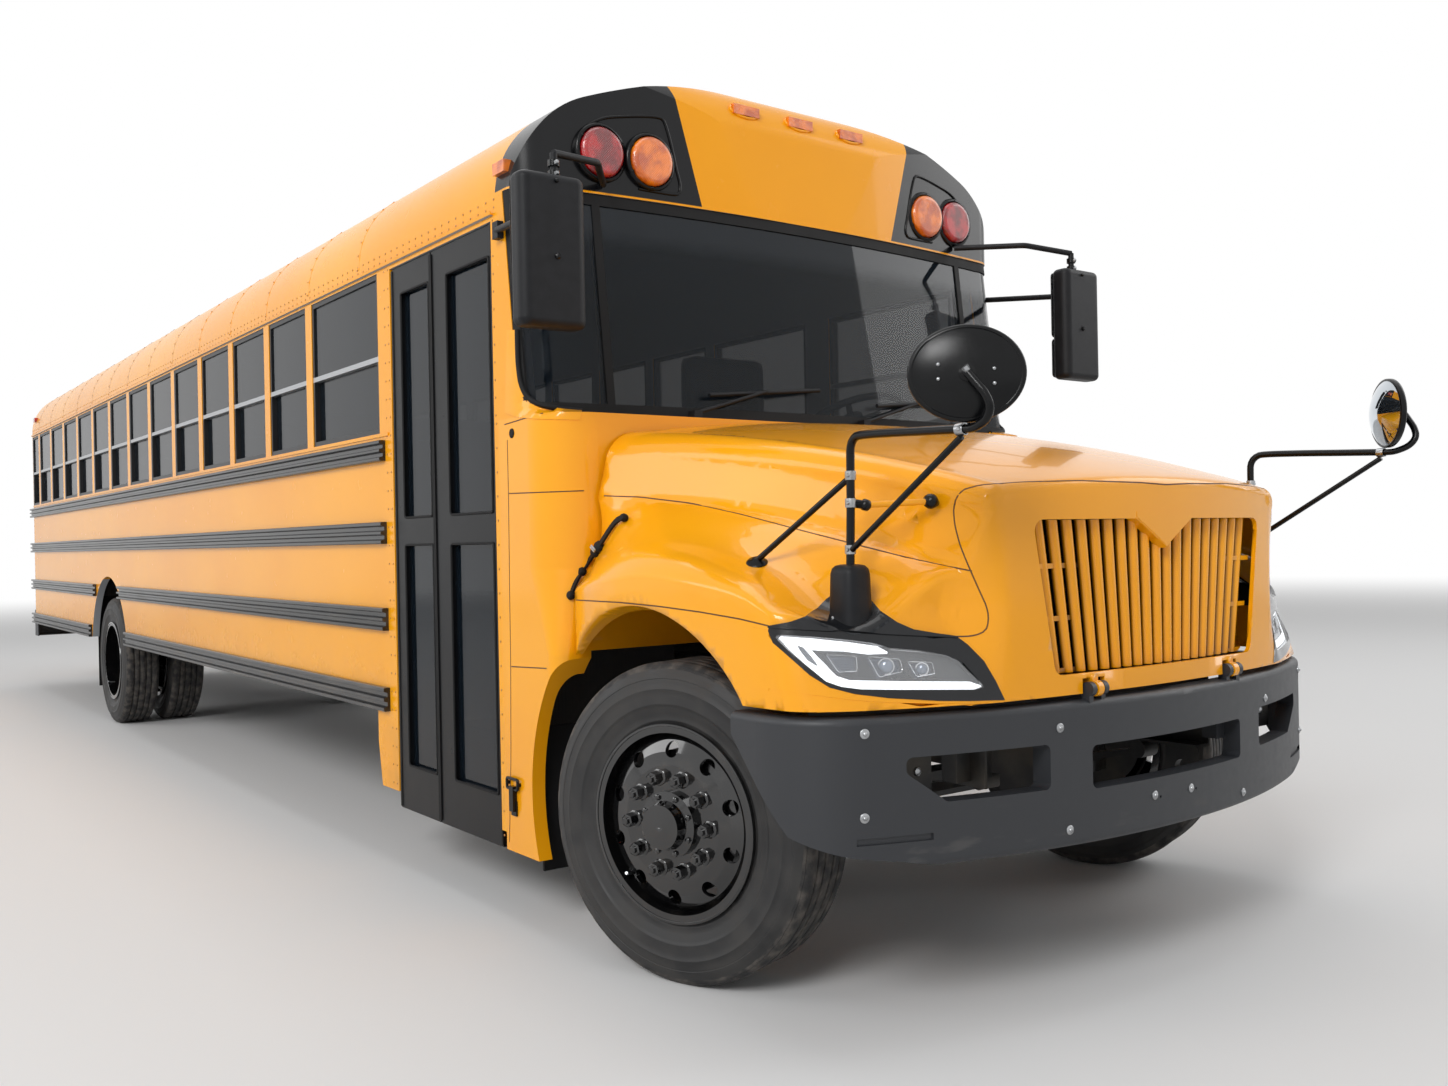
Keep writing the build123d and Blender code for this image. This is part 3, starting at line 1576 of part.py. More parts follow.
def stop_arm():
    """A blank eight-sided blade on a hinged arm, folded flat against the left side."""
    hinge_x, hinge_y, z = stop_arm_hinge
    blank = RegularPolygon(
        stop_blade_half_width, stop_blade_sides, major_radius=False, rotation=180 / stop_blade_sides
    )
    blade = extrude(blank, stop_blade_thickness / 2, both=True)
    blade = Pos(hinge_x - stop_arm_reach, hinge_y, z) * Rot(90, 0, 0) * blade
    half = stop_arm_height / 2
    arm = block((hinge_x - 160, hinge_x), (hinge_y - 8, hinge_y + 8), (z - half, z + half))
    arm += Pos(hinge_x, hinge_y, z) * Cylinder(stop_barrel, stop_arm_height)
    arm -= Pos(hinge_x, hinge_y, z) * Cylinder(stop_pin + running_clearance, stop_arm_height + 2)
    return blade + arm


def stop_arm_base():
    """The housing on the body's side with the two ears and the pin that hold the stop arm."""
    hinge_x, hinge_y, z = stop_arm_hinge
    half = stop_arm_height / 2
    outer = half + stop_ear
    housing_x = (hinge_x + stop_barrel + move_clearance, hinge_x + 90)
    shape = block(housing_x, (body_half_width, hinge_y + stop_barrel), (z - outer, z + outer))
    shape += Pos(hinge_x, hinge_y, z) * Cylinder(stop_pin, 2 * outer)
    for low in (z - outer, z + half + 1):
        ear_z = (low, low + stop_ear - 1)
        ear = block((hinge_x, housing_x[0]), (hinge_y - stop_barrel, hinge_y + stop_barrel), ear_z)
        ear += Pos(hinge_x, hinge_y, sum(ear_z) / 2) * Cylinder(stop_barrel, stop_ear - 1)
        shape += ear
    return shape


def wipers():
    """Two wipers parked along the foot of the windshield."""

    def ahead(y, z, gap):
        bow = front_bow_radius - math.sqrt(front_bow_radius**2 - y**2)
        return (screen_front_x(z) - bow + gap, y, z)

    solids = []
    for y in wiper_pivots:
        pivot = block((-500, -462), (y - 18, y + 18), (screen_foot_z, screen_foot_z + 26))
        arm = rod((-476, y, screen_foot_z + 18), ahead(y + 330, 1885, 34), 7)
        blade = rod(ahead(y + 80, 1860, 22), ahead(y + 600, 1905, 22), 8)
        solids.append(pivot + arm + blade)
    return solids


def main():
    os.makedirs("parts", exist_ok=True)
    save("side_wall_right", side_wall(-1))
    save("side_wall_left", side_wall(1) + stop_arm_base())
    sashes = [sash(span, side) for side in (-1, 1) for span in window_spans()]
    glass = [pane for side in (-1, 1) for span in window_spans() for pane in panes(span, side)]
    sashes.append(sash(driver_window_span(), 1))
    glass += panes(driver_window_span(), 1)
    screen_frame, screen = windshield()
    save("window_sashes", *sashes)
    save("window_glass", screen, *rear_glass(), *glass)
    save("windshield_frame", screen_frame)
    save("roof", roof() + hatch_curbs())
    for name, hatch_x in zip(("front", "rear"), hatch_places):
        save(f"roof_hatch_{name}", hatch_lid(hatch_x))
    save("front_cap", front_cap())
    save("cowl", cowl())
    save("rear_wall", end_cap())
    leaf, leaf_glass = rear_door()
    save("rear_door", leaf)
    save("rear_door_glass", *leaf_glass)
    save("floor", floor_with_steps() + cross_sills())
    save("rub_rails", *all_rub_rails())
    shell, lamps, hood_outer = hood_pieces()
    save("hood", shell)
    save("grille", grille())
    save("headlights", *lamps)
    save("crossover_mirrors", *crossover_mirrors(hood_outer))
    save("side_mirrors", *side_mirrors())
    save("front_bumper", front_bumper())
    save("rear_bumper", rear_bumper())
    save("chassis_frame", chassis())
    save("engine_block", engine() + transmission())
    save("radiator", radiator())
    save("fuel_tank", fuel_tank())
    save("drive_shaft", drive_shaft())
    save("exhaust", exhaust())
    save("front_axle", front_axle())
    save("rear_axle", rear_axle())
    save("tie_rod", tie_rod())
    save("leaf_springs", *leaf_springs())
    for name, side in (("right", -1), ("left", 1)):
        save(f"front_{name}_knuckle", steered(side, knuckle(side)))
        wheel_place = Pos(0, side * kingpin_offset, 0) * outward(side)
        save(f"front_{name}_wheel", steered(side, wheel_place * front_wheel()))
        save(f"front_{name}_tyre", steered(side, wheel_place * tyre()))
        dual_place = Pos(rear_axle_x, side * dual_middle_y, tyre_radius) * outward(side)
        save(f"rear_{name}_wheels", dual_place * rear_wheels())
        half = dual_spacing / 2
        twin = [dual_place * Pos(0, 0, offset) * tyre() for offset in (-half, half)]
        save(f"rear_{name}_tyres", *twin)
    save("mud_flaps", *mud_flaps())
    red, amber = front_lamps()
    rear_red, rear_amber = rear_lamps()
    save("red_lamps", *red, *rear_red)
    save("amber_lamps", *amber, *rear_amber)
    save("dashboard", dashboard() + steering_column())
    save("steering_wheel", steering_wheel())
    seat_pads, seat_frames = seats()
    save("seats", *seat_pads, *barrier(), *driver_seat()[:2])
    save("seat_frames", *seat_frames, driver_seat()[2])
    front_edge = door_seam_x + leaf_gap / 2
    rear_edge = door_seam_x - leaf_gap / 2
    leaf, leaf_glass = door_leaf(door_front_x - leaf_seal, front_edge, (-1273, -916))
    save("door_front_leaf", leaf)
    save("door_front_glass", *leaf_glass)
    leaf, leaf_glass = door_leaf(door_rear_x + leaf_seal, rear_edge, (-1708, -1436))
    save("door_rear_leaf", leaf)
    save("door_rear_glass", *leaf_glass)
    save("stop_arm", stop_arm())
    save("wipers", *wipers())


main()
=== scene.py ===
"""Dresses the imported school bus: finishes, tyres, lamps, trim, seats, stage and camera."""

import json
import math

import bmesh
import bpy
import numpy as np
from mathutils import Matrix, Vector
from mathutils.bvhtree import BVHTree

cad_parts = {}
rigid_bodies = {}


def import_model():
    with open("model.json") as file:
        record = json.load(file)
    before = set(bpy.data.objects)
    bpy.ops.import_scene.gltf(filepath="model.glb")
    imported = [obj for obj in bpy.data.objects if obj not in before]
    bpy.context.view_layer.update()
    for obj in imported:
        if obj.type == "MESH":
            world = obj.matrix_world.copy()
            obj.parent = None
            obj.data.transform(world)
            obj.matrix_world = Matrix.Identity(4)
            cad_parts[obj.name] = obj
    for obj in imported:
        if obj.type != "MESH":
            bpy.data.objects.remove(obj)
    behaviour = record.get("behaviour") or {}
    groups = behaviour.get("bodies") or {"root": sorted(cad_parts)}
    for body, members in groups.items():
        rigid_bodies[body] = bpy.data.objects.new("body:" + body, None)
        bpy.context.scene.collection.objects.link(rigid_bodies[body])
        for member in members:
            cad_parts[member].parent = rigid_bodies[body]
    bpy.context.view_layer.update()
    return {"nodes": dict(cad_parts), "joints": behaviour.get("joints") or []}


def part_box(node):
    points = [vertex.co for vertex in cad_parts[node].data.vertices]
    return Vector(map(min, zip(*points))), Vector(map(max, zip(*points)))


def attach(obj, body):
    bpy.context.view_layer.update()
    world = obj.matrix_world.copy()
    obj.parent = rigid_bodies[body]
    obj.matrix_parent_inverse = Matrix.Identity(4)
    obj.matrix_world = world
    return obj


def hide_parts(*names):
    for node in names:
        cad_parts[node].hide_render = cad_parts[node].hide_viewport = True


bl_info = {
    "name": "School Bus Dressing",
    "version": (1, 0, 0),
    "blender": (4, 5, 0),
    "location": "View3D > Sidebar > School Bus",
    "description": "Adds the finishes and fine pieces of a long-nosed school bus",
    "category": "Object",
}

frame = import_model()

# The front axle's place along the bus, measured from the frame's origin
AXLE_X = 4.9995
MM = 0.001
RIGHT, LEFT = -1, 1


def at(x, y, z):
    """A point given in millimetres from the front axle, on the ground and the centre line."""
    return Vector((x * MM + AXLE_X, y * MM, z * MM))


# Camera of the photograph: its picture in pixels, its place in millimetres from the front axle,
# its angles in degrees and its focal length in pixels
IMAGE_WIDTH, IMAGE_HEIGHT = 1448, 1086
CAMERA_PLACE = (3154.6, -3253.6, 1331.6)
CAMERA_TURN, CAMERA_TILT, CAMERA_ROLL = 142.97, -0.13, -1.11
FOCAL_PIXELS = 1251.1
EYE = at(*CAMERA_PLACE)
FORWARD = Vector((1, 0, 0))


def camera_matrix():
    """The camera's place and directions in the scene."""
    turn, tilt, roll = (math.radians(value) for value in (CAMERA_TURN, CAMERA_TILT, CAMERA_ROLL))
    right = Vector((math.sin(turn), -math.cos(turn), 0))
    ahead = Vector((math.cos(tilt) * math.cos(turn), math.cos(tilt) * math.sin(turn), math.sin(tilt)))
    up = right.cross(ahead)
    right, up = right * math.cos(roll) + up * math.sin(roll), up * math.cos(roll) - right * math.sin(roll)
    matrix = Matrix((right, up, -ahead)).transposed().to_4x4()
    matrix.translation = EYE
    return matrix


def sight(u, v):
    """The direction in which the photograph's camera sees one of its points."""
    view = camera_matrix().to_3x3()
    across, up = u - IMAGE_WIDTH / 2, IMAGE_HEIGHT / 2 - v
    return (view @ Vector((across / FOCAL_PIXELS, up / FOCAL_PIXELS, -1))).normalized()


# Mesh making


class Shape:
    """Points and faces gathered for one piece, with a finish number for each face."""

    def __init__(self):
        self.points = []
        self.faces = []
        self.numbers = []

    def add(self, points, faces, number=0):
        """Adds faces that count from the first of the new points."""
        start = len(self.points)
        self.points += [tuple(point) for point in points]
        self.faces += [tuple(start + index for index in face) for face in faces]
        self.numbers += [number] * len(faces)

    def rings(self, rings, number=0, closed=True, caps=True, loop=False):
        """Skins a row of rings that all have as many points."""
        count = len(rings[0])
        points = [point for ring in rings for point in ring]
        faces = []
        last = len(rings) if loop else len(rings) - 1
        for row in range(last):
            low = row * count
            high = (row + 1) % len(rings) * count
            for index in range(count if closed else count - 1):
                after = (index + 1) % count
                faces.append((low + index, low + after, high + after, high + index))
        if caps and closed and not loop:
            faces.append(tuple(reversed(range(count))))
            faces.append(tuple(range(len(points) - count, len(points))))
        self.add(points, faces, number)

    def box(self, low, high, number=0):
        """A block between two corners."""
        ends = list(zip(low, high))
        corners = [Vector((x, y, z)) for x in ends[0] for y in ends[1] for z in ends[2]]
        faces = [(0, 1, 3, 2), (4, 6, 7, 5), (0, 4, 5, 1), (2, 3, 7, 6), (0, 2, 6, 4), (1, 5, 7, 3)]
        self.add(corners, faces, number)

    def tube(self, path, radius, sides=10, number=0, loop=False):
        """A round bar along a path."""
        path = [Vector(point) for point in path]
        count = len(path)
        rings = []
        across = None
        for index, point in enumerate(path):
            before = path[index - 1] if index or loop else point
            after = path[(index + 1) % count] if index < count - 1 or loop else point
            along = (after - before).normalized()
            if across is None:
                across = along.orthogonal().normalized()
            across = (across - along * across.dot(along)).normalized()
            up = along.cross(across)
            rings.append(circle(point, across, up, radius, sides))
        self.rings(rings, number, loop=loop)

    def turned(self, profile, centre, axis, steps=32, number=0, ends=True):
        """Turns pairs of radius and height about an axis."""
        axis = Vector(axis).normalized()
        across = axis.orthogonal().normalized()
        up = axis.cross(across)
        rings = [
            circle(Vector(centre) + axis * height, across, up, max(radius, 1e-5), steps)
            for radius, height in profile
        ]
        self.rings(rings, number, caps=ends)

    def mirror(self):
        """Adds the same faces on the other side of the bus."""
        start = len(self.points)
        self.points += [(x, -y, z) for x, y, z in self.points]
        self.faces += [tuple(start + index for index in reversed(face)) for face in self.faces]
        self.numbers += self.numbers

    def piece(self, name, finishes, body, bevel=0.0, smooth=35, replaces=(), slot=None):
        """Makes the object, and rides it on its body."""
        mesh = bpy.data.meshes.new(name)
        mesh.from_pydata(self.points, [], self.faces)
        for finish in finishes:
            mesh.materials.append(FINISHES[finish])
        mesh.polygons.foreach_set("material_index", self.numbers)
        mesh.update()
        tidy = bmesh.new()
        tidy.from_mesh(mesh)
        bmesh.ops.recalc_face_normals(tidy, faces=tidy.faces)
        tidy.to_mesh(mesh)
        tidy.free()
        mesh.shade_smooth()
        mesh.set_sharp_from_angle(angle=math.radians(smooth))
        thing = bpy.data.objects.new(name, mesh)
        bpy.context.scene.collection.objects.link(thing)
        if bevel:
            modifier = thing.modifiers.new("rounded edges", "BEVEL")
            modifier.width = bevel
            modifier.segments = 2
            modifier.limit_method = "ANGLE"
        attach(thing, body)
        if replaces:
            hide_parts(*replaces)
        return thing


def circle(centre, across, up, radius, sides):
    """Points round a circle in the plane of two directions."""
    turns = [2 * math.pi * index / sides for index in range(sides)]
    return [centre + (across * math.cos(turn) + up * math.sin(turn)) * radius for turn in turns]


def rounded(corners, radius):
    """A flat outline in two numbers with each corner rounded."""
    steps = 4
    outline = []
    count = len(corners)
    for index, corner in enumerate(corners):
        here = Vector(corner)
        before = (Vector(corners[index - 1]) - here).normalized()
        after = (Vector(corners[(index + 1) % count]) - here).normalized()
        start, end = here + before * radius, here + after * radius
        for step in range(steps + 1):
            share = step / steps
            outline.append(
                start * (1 - share) ** 2 + here * 2 * share * (1 - share) + end * share**2
            )
    return outline


def resample(points, count):
    """As many points as asked, evenly spaced along a line of points."""
    points = [Vector(point) for point in points]
    lengths = [0.0]
    for first, second in zip(points, points[1:]):
        lengths.append(lengths[-1] + (second - first).length)
    targets = np.linspace(0, lengths[-1], count)
    columns = [np.interp(targets, lengths, column) for column in zip(*points)]
    return [Vector(values) for values in zip(*columns)]


def between(first, second, across, cuts):
    """Rows of points from one line to another that has as many corners."""
    rows = []
    for (a0, a1), (b0, b1) in zip(zip(first, first[1:]), zip(second, second[1:])):
        for cut in range(cuts):
            share = cut / cuts
            rows.append((Vector(a0).lerp(Vector(a1), share), Vector(b0).lerp(Vector(b1), share)))
    rows.append((Vector(first[-1]), Vector(second[-1])))
    return [[a.lerp(b, step / across) for step in range(across + 1)] for a, b in rows]


def grid_normals(grid, wrap=False):
    """The directions that a grid of points faces, on the side of the photograph's camera."""
    if wrap:
        along = np.roll(grid, -1, axis=0) - np.roll(grid, 1, axis=0)
    else:
        along = np.gradient(grid, axis=0)
    normals = np.cross(along, np.gradient(grid, axis=1))
    for _ in range(2):
        ends = [normals[-1:], normals, normals[:1]] if wrap else [normals[:1], normals, normals[-1:]]
        padded = np.concatenate(ends)
        normals = padded[:-2] + padded[1:-1] * 2 + padded[2:]
    normals /= np.maximum(np.linalg.norm(normals, axis=2, keepdims=True), 1e-12)
    toward = np.array(EYE) - grid
    return normals * np.sign(np.sum(normals * toward, axis=2, keepdims=True))


def smooth_line(points, count):
    """A curve that passes through points, as evenly spaced points of its own."""
    parts = 12
    points = [Vector(point) for point in points]
    padded = [points[0] * 2 - points[1], *points, points[-1] * 2 - points[-2]]
    curve = []
    for p0, p1, p2, p3 in zip(padded, padded[1:], padded[2:], padded[3:]):
        for step in range(parts):
            t = step / parts
            curve.append(
                (p1 * 2 + (p2 - p0) * t + (p0 * 2 - p1 * 5 + p2 * 4 - p3) * t * t
                 + (p1 * 3 - p0 - p2 * 3 + p3) * t**3) * 0.5
            )
    return resample([*curve, points[-1]], count)


class Skin:
    """A surface to lay thin pieces on, from the names of CAD nodes or from meshes."""

    def __init__(self, *sources):
        mesh = bmesh.new()
        for source in sources:
            mesh.from_mesh(frame["nodes"][source].data if isinstance(source, str) else source)
        self.tree = BVHTree.FromBMesh(mesh)
        mesh.free()

    def behind(self, u, v):
        """The surface point behind a point of the photograph, and its normal."""
        return self.cast(EYE, sight(u, v))

    def seen(self, points):
        """The surface points behind points of the photograph."""
        return [self.behind(u, v)[0] for u, v in points]

    def plate(self, shape, rows, lift, sink, number=0, wrap=False):
        """Lays a plate on rows of the photograph's points, from a lift above to a sink below."""
        grid = np.array([[tuple(place) for place in self.seen(row)] for row in rows])
        normals = grid_normals(grid, wrap)
        top, low = grid + normals * lift, grid - normals * sink
        rings = [[*map(Vector, a), *map(Vector, b[::-1])] for a, b in zip(top, low)]
        shape.rings(rings, number, loop=wrap)

    def sheet(self, shape, first, second, lift, sink, across=4, cuts=3, number=0):
        """Lays a plate between two lines of the photograph's points that match one another."""
        self.plate(shape, between(first, second, across, cuts), lift, sink, number)

    def border(self, shape, outer, inner, lift, sink):
        """Lays a closed frame between an outer and an inner outline of the photograph."""
        rows = between([*outer, outer[0]], [*inner, inner[0]], 2, 3)[:-1]
        self.plate(shape, rows, lift, sink, wrap=True)

    def nearest(self, point, outward):
        """The surface point nearest to a point, and its normal on the outward side."""
        place, normal, _, _ = self.tree.find_nearest(point)
        return place, normal if normal.dot(outward) > 0 else -normal

    def cast(self, start, direction):
        """The first surface point on a ray, or the nearest to its start, and its normal."""
        place, normal, _, _ = self.tree.ray_cast(start, direction)
        if place is None:
            return self.nearest(start, -direction)
        return place, normal if normal.dot(direction) < 0 else -normal

    def strip(self, shape, points, outward, width, lift):
        """Lays a ribbon of a width along a line of points on the surface."""
        outward = Vector(outward)
        found = [self.nearest(point, outward) for point in points]
        rings = []
        for index, (place, normal) in enumerate(found):
            after = found[min(index + 1, len(found) - 1)][0]
            before = found[max(index - 1, 0)][0]
            side = (after - before).cross(normal).normalized() * (width / 2)
            top, low = normal * lift, normal * -0.001
            rings.append([place - side + low, place + side + low, place + side + top, place - side + top])
        shape.rings(rings)


# Shader maths


def paint(red, green, blue):
    """A colour from 0 to 255 numbers, as light."""
    channels = [value / 255 for value in (red, green, blue)]
    light = [v / 12.92 if v <= 0.04045 else ((v + 0.055) / 1.055) ** 2.4 for v in channels]
    return (*light, 1.0)


class Field:
    """A number or colour that changes over a surface: a shader socket with arithmetic."""

    def __init__(self, shader, socket):
        self.shader = shader
        self.socket = socket

    def __add__(self, other):
        return self.shader.maths("ADD", self, other)

    def __radd__(self, other):
        return self.shader.maths("ADD", other, self)

    def __sub__(self, other):
        return self.shader.maths("SUBTRACT", self, other)

    def __rsub__(self, other):
        return self.shader.maths("SUBTRACT", other, self)

    def __mul__(self, other):
        return self.shader.maths("MULTIPLY", self, other)

    def __rmul__(self, other):
        return self.shader.maths("MULTIPLY", other, self)


class Shader:
    """One material's nodes, made from expressions."""

    def __init__(self, name):
        self.material = bpy.data.materials.new(name)
        self.material.use_nodes = True
        self.tree = self.material.node_tree
        self.surface = self.tree.nodes["Principled BSDF"]

    def node(self, kind, settings, sockets, output=0):
        """Adds a node: its settings first, then the values or links of its sockets."""
        node = self.tree.nodes.new(kind)
        for key, value in settings.items():
            setattr(node, key, value)
        for key, value in sockets.items():
            self.feed(node.inputs[key], value)
        return Field(self, node.outputs[output])

    def feed(self, socket, value):
        """Links a field to a socket, or sets the socket's own value."""
        if isinstance(value, Field):
            self.tree.links.new(value.socket, socket)
        else:
            socket.default_value = value

    def maths(self, operation, first, second=0.0):
        return self.node("ShaderNodeMath", {"operation": operation}, {0: first, 1: second})

    def vector(self, operation, first, second, output=0):
        settings = {"operation": operation}
        return self.node("ShaderNodeVectorMath", settings, {0: first, 1: second}, output)

    def place(self):
        """Where on the bus a point is, in metres at rest."""
        return self.node("ShaderNodeTexCoord", {}, {}, "Object")

    def facing(self):
        """The direction that a surface faces."""
        return self.node("ShaderNodeTexCoord", {}, {}, "Normal")

    def split(self, vector):
        """The three parts of a vector."""
        node = self.node("ShaderNodeSeparateXYZ", {}, {0: vector}).socket.node
        return [Field(self, node.outputs[index]) for index in range(3)]

    def step(self, value, low, high):
        """Rises from 0 at low to 1 at high, or falls where low is the larger."""
        settings = {"interpolation_type": "SMOOTHSTEP"}
        return self.node("ShaderNodeMapRange", settings, {0: value, 1: low, 2: high})

    def mix(self, share, first, second):
        """A colour between two colours."""
        settings = {"data_type": "RGBA"}
        return self.node("ShaderNodeMix", settings, {0: share, 6: first, 7: second}, 2)

    def noise(self, scale, detail=2.0, place=None):
        place = self.place() if place is None else place
        return self.node("ShaderNodeTexNoise", {}, {"Vector": place, "Scale": scale, "Detail": detail})

    def stretched(self, scales):
        """Places scaled by axis, which stretches a pattern."""
        return self.vector("MULTIPLY", self.place(), scales)

    def bump(self, height, distance, strength):
        """Raises the surface by a height field, over a distance in metres."""
        sockets = {"Height": height, "Distance": distance, "Strength": strength}
        self.feed(self.surface.inputs["Normal"], self.node("ShaderNodeBump", {}, sockets))

    def set(self, **values):
        """Sets the surface's sockets: names with spaces are written with underscores."""
        for key, value in values.items():
            self.feed(self.surface.inputs[key.replace("_", " ")], value)
        return self

    def base_colour(self):
        """What feeds the surface's colour so far."""
        return Field(self, self.surface.inputs["Base Color"].links[0].from_socket)


# Finishes: the materials by name, and the functions that make them
FINISHES = {}
FINISH_MAKERS = {}


def finish(make):
    """Lists a function as the maker of the finish that it is named after."""
    FINISH_MAKERS[make.__name__] = make
    return make


# A face of the walls and roof that looks toward this point is one of the cabin's
CABIN_MIDDLE = (0.0, 0.0, 1.85)


@finish
def body_paint(s, colours):
    """Painted sheet metal with slow waves, dust low down and a pale lining on inner faces."""
    place = s.place()
    z = s.split(place)[2]
    out = s.vector("DOT_PRODUCT", s.facing(), s.vector("SUBTRACT", place, CABIN_MIDDLE), "Value")
    inside = s.step(out, 0.01, -0.01)
    fade = s.step(s.noise(0.7, 3.0), 0.35, 0.65)
    colour = s.mix(fade, colours.body_shade, colours.body)
    dust = s.step(z, 0.95, 0.35) * s.step(s.noise(5.0, 6.0), 0.35, 0.75) * 0.35
    colour = s.mix(dust, colour, colours.dust)
    colour = s.mix(inside, colour, colours.lining)
    grain = s.noise(420.0, 2.0)
    waves = s.noise(1.6, 1.0, s.stretched((0.6, 1.0, 2.0)))
    s.bump(waves + grain * 0.012, 0.010, 0.5)
    s.set(
        Base_Color=colour,
        Roughness=0.22 + 0.08 * s.noise(9.0, 4.0) + 0.4 * dust + 0.3 * inside,
        Coat_Weight=0.25 - 0.2 * inside,
        Coat_Roughness=0.04,
        Specular_IOR_Level=0.2,
    )
    return place, inside


@finish
def hood_paint(s, colours):
    """Gloss paint on moulded panels, with slow waves and a fine peel."""
    fade = s.step(s.noise(0.9, 3.0), 0.35, 0.65)
    s.set(
        Base_Color=s.mix(fade, tuple(colours.body_shade), tuple(colours.body)),
        Roughness=0.2 + 0.06 * s.noise(9.0, 4.0),
        Coat_Weight=0.5,
        Coat_Roughness=0.03,
        Specular_IOR_Level=0.2,
    )
    s.bump(s.noise(1.8, 1.0) + s.noise(420.0, 2.0) * 0.012, 0.008, 0.4)


# Face of the grille: how far ahead of the axle, and how far it bows back at a metre aside
GRILLE_FACE = 0.977
GRILLE_BOW = 0.1216


@finish
def grille_paint(s, colours):
    """Painted slat fronts, with painted shade that darkens them toward the back of the grille."""
    hood_paint(s, colours)
    x, y, _ = s.split(s.place())
    depth = x - (AXLE_X + GRILLE_FACE) + y * y * GRILLE_BOW
    # Painted shade: the yellow slats turn near black with depth into the grille
    back = s.step(depth, -0.004, -0.022)
    s.set(Base_Color=s.mix(back, s.base_colour(), paint(8, 8, 9)))


# Foot of the cap's black corners, their inner edge there, and that edge's slant
CORNER_FOOT = 2.572
CORNER_EDGE = 0.494
CORNER_SLANT = 0.2815


@finish
def cap_paint(s, colours):
    """The front cap: yellow between its two black corners, which have a crisp slanted edge."""
    place, inside = body_paint(s, colours)
    _, y, z = s.split(place)
    edge = CORNER_EDGE + (z - (CORNER_FOOT + 0.016)) * CORNER_SLANT
    aside = s.step(s.maths("ABSOLUTE", y) - edge, -0.001, 0.001)
    corner = aside * s.step(z, CORNER_FOOT, CORNER_FOOT + 0.004)
    s.set(Base_Color=s.mix(corner * (1.0 - inside), s.base_colour(), colours.trim_black))


def plain(s, colour, roughness, spread, scale, grain=0.0, depth=0.0004, **rest):
    """A surface with a mottled gloss, slight colour change and a fine grain."""
    if max(colour[:3]) < 0.05:
        rest.setdefault("Specular_IOR_Level", 0.2)
    mottle = s.noise(scale, 5.0)
    darker = tuple(value * 0.72 for value in colour[:3]) + (1.0,)
    s.set(Base_Color=s.mix(s.step(mottle, 0.3, 0.7), darker, tuple(colour)))
    s.set(Roughness=roughness - spread / 2 + spread * mottle, **rest)
    if grain:
        s.bump(s.noise(grain, 3.0), depth, 0.6)


# Plain finishes: colour, roughness, its spread, scale of the mottling, then the grain and sockets
PLAIN_FINISHES = {
    "trim_black": ("trim_black", 0.28, 0.14, 14.0, {"grain": 600.0}),
    "door_black": ("trim_black", 0.3, 0.14, 14.0, {"grain": 500.0}),
    "moulded_black": ((27, 28, 31), 0.42, 0.16, 20.0, {"grain": 1100.0, "depth": 0.0006}),
    "gloss_black": ((7, 8, 10), 0.22, 0.12, 26.0, {"grain": 500.0, "Specular_IOR_Level": 0.25}),
    "lamp_black": (
        (16, 18, 22), 0.2, 0.1, 18.0, {"grain": 800.0, "depth": 0.0003, "Coat_Weight": 0.5},
    ),
    "lamp_grey": ((92, 98, 106), 0.3, 0.1, 30.0, {"Metallic": 0.5}),
    "lamp_eye": (
        (120, 132, 150), 0.05, 0.04, 60.0, {"Metallic": 0.5, "Coat_Weight": 1.0, "Coat_Roughness": 0.01},
    ),
    "rubber": ((22, 22, 23), 0.62, 0.2, 12.0, {"grain": 700.0}),
    # Rivet heads: a darker yellow-brown than the body, as painted shade round the heads
    "rivet_paint": ((186, 118, 18), 0.3, 0.1, 40.0, {}),
    "seam_shadow": ((96, 58, 10), 0.6, 0.1, 14.0, {}),
    "steel": ((176, 178, 180), 0.3, 0.2, 40.0, {"grain": 900.0, "Metallic": 1.0}),
    "dark_steel": ((58, 57, 56), 0.5, 0.2, 9.0, {"grain": 200.0, "depth": 0.001, "Metallic": 0.4}),
    "chrome": ((225, 227, 230), 0.06, 0.05, 10.0, {"Metallic": 1.0}),
    "mirror_glass": ((214, 220, 226), 0.03, 0.02, 4.0, {"Metallic": 1.0}),
    "dash_plastic": ((44, 46, 50), 0.55, 0.15, 9.0, {"grain": 420.0, "depth": 0.0007}),
    "hatch_white": ((222, 220, 210), 0.42, 0.12, 6.0, {"grain": 350.0}),
}


@finish
def rail_black(s, colours):
    """The rub rails: black paint that is scuffed and dusty on what faces down."""
    facing = s.split(s.facing())[2]
    z = s.split(s.place())[2]
    dust = s.step(s.noise(7.0, 6.0, s.stretched((0.5, 1.0, 3.0))), 0.45, 0.8)
    dust = dust * (0.25 + 0.55 * s.step(z, 1.2, 0.6)) * s.step(facing, 0.6, -0.2)
    s.set(Base_Color=s.mix(dust, tuple(colours.trim_black), paint(112, 106, 98)))
    s.set(Roughness=0.3 + 0.35 * dust, Coat_Weight=0.25)
    s.bump(s.noise(300.0, 3.0), 0.0004, 0.5)


@finish
def bumper_black(s, colours):
    """Satin dark grey paint with a fine stipple and faint scuffs near the foot."""
    scuff = s.step(s.noise(6.0, 8.0, s.stretched((1.0, 1.0, 4.0))), 0.6, 0.75)
    scuff = scuff * s.step(s.split(s.place())[2], 0.66, 0.5)
    s.set(Base_Color=s.mix(scuff * 0.35, paint(40, 42, 46), paint(96, 94, 92)))
    s.set(Roughness=0.4 + 0.12 * s.noise(30.0, 4.0) + 0.2 * scuff)
    s.bump(s.noise(900.0, 2.0), 0.0005, 0.5)


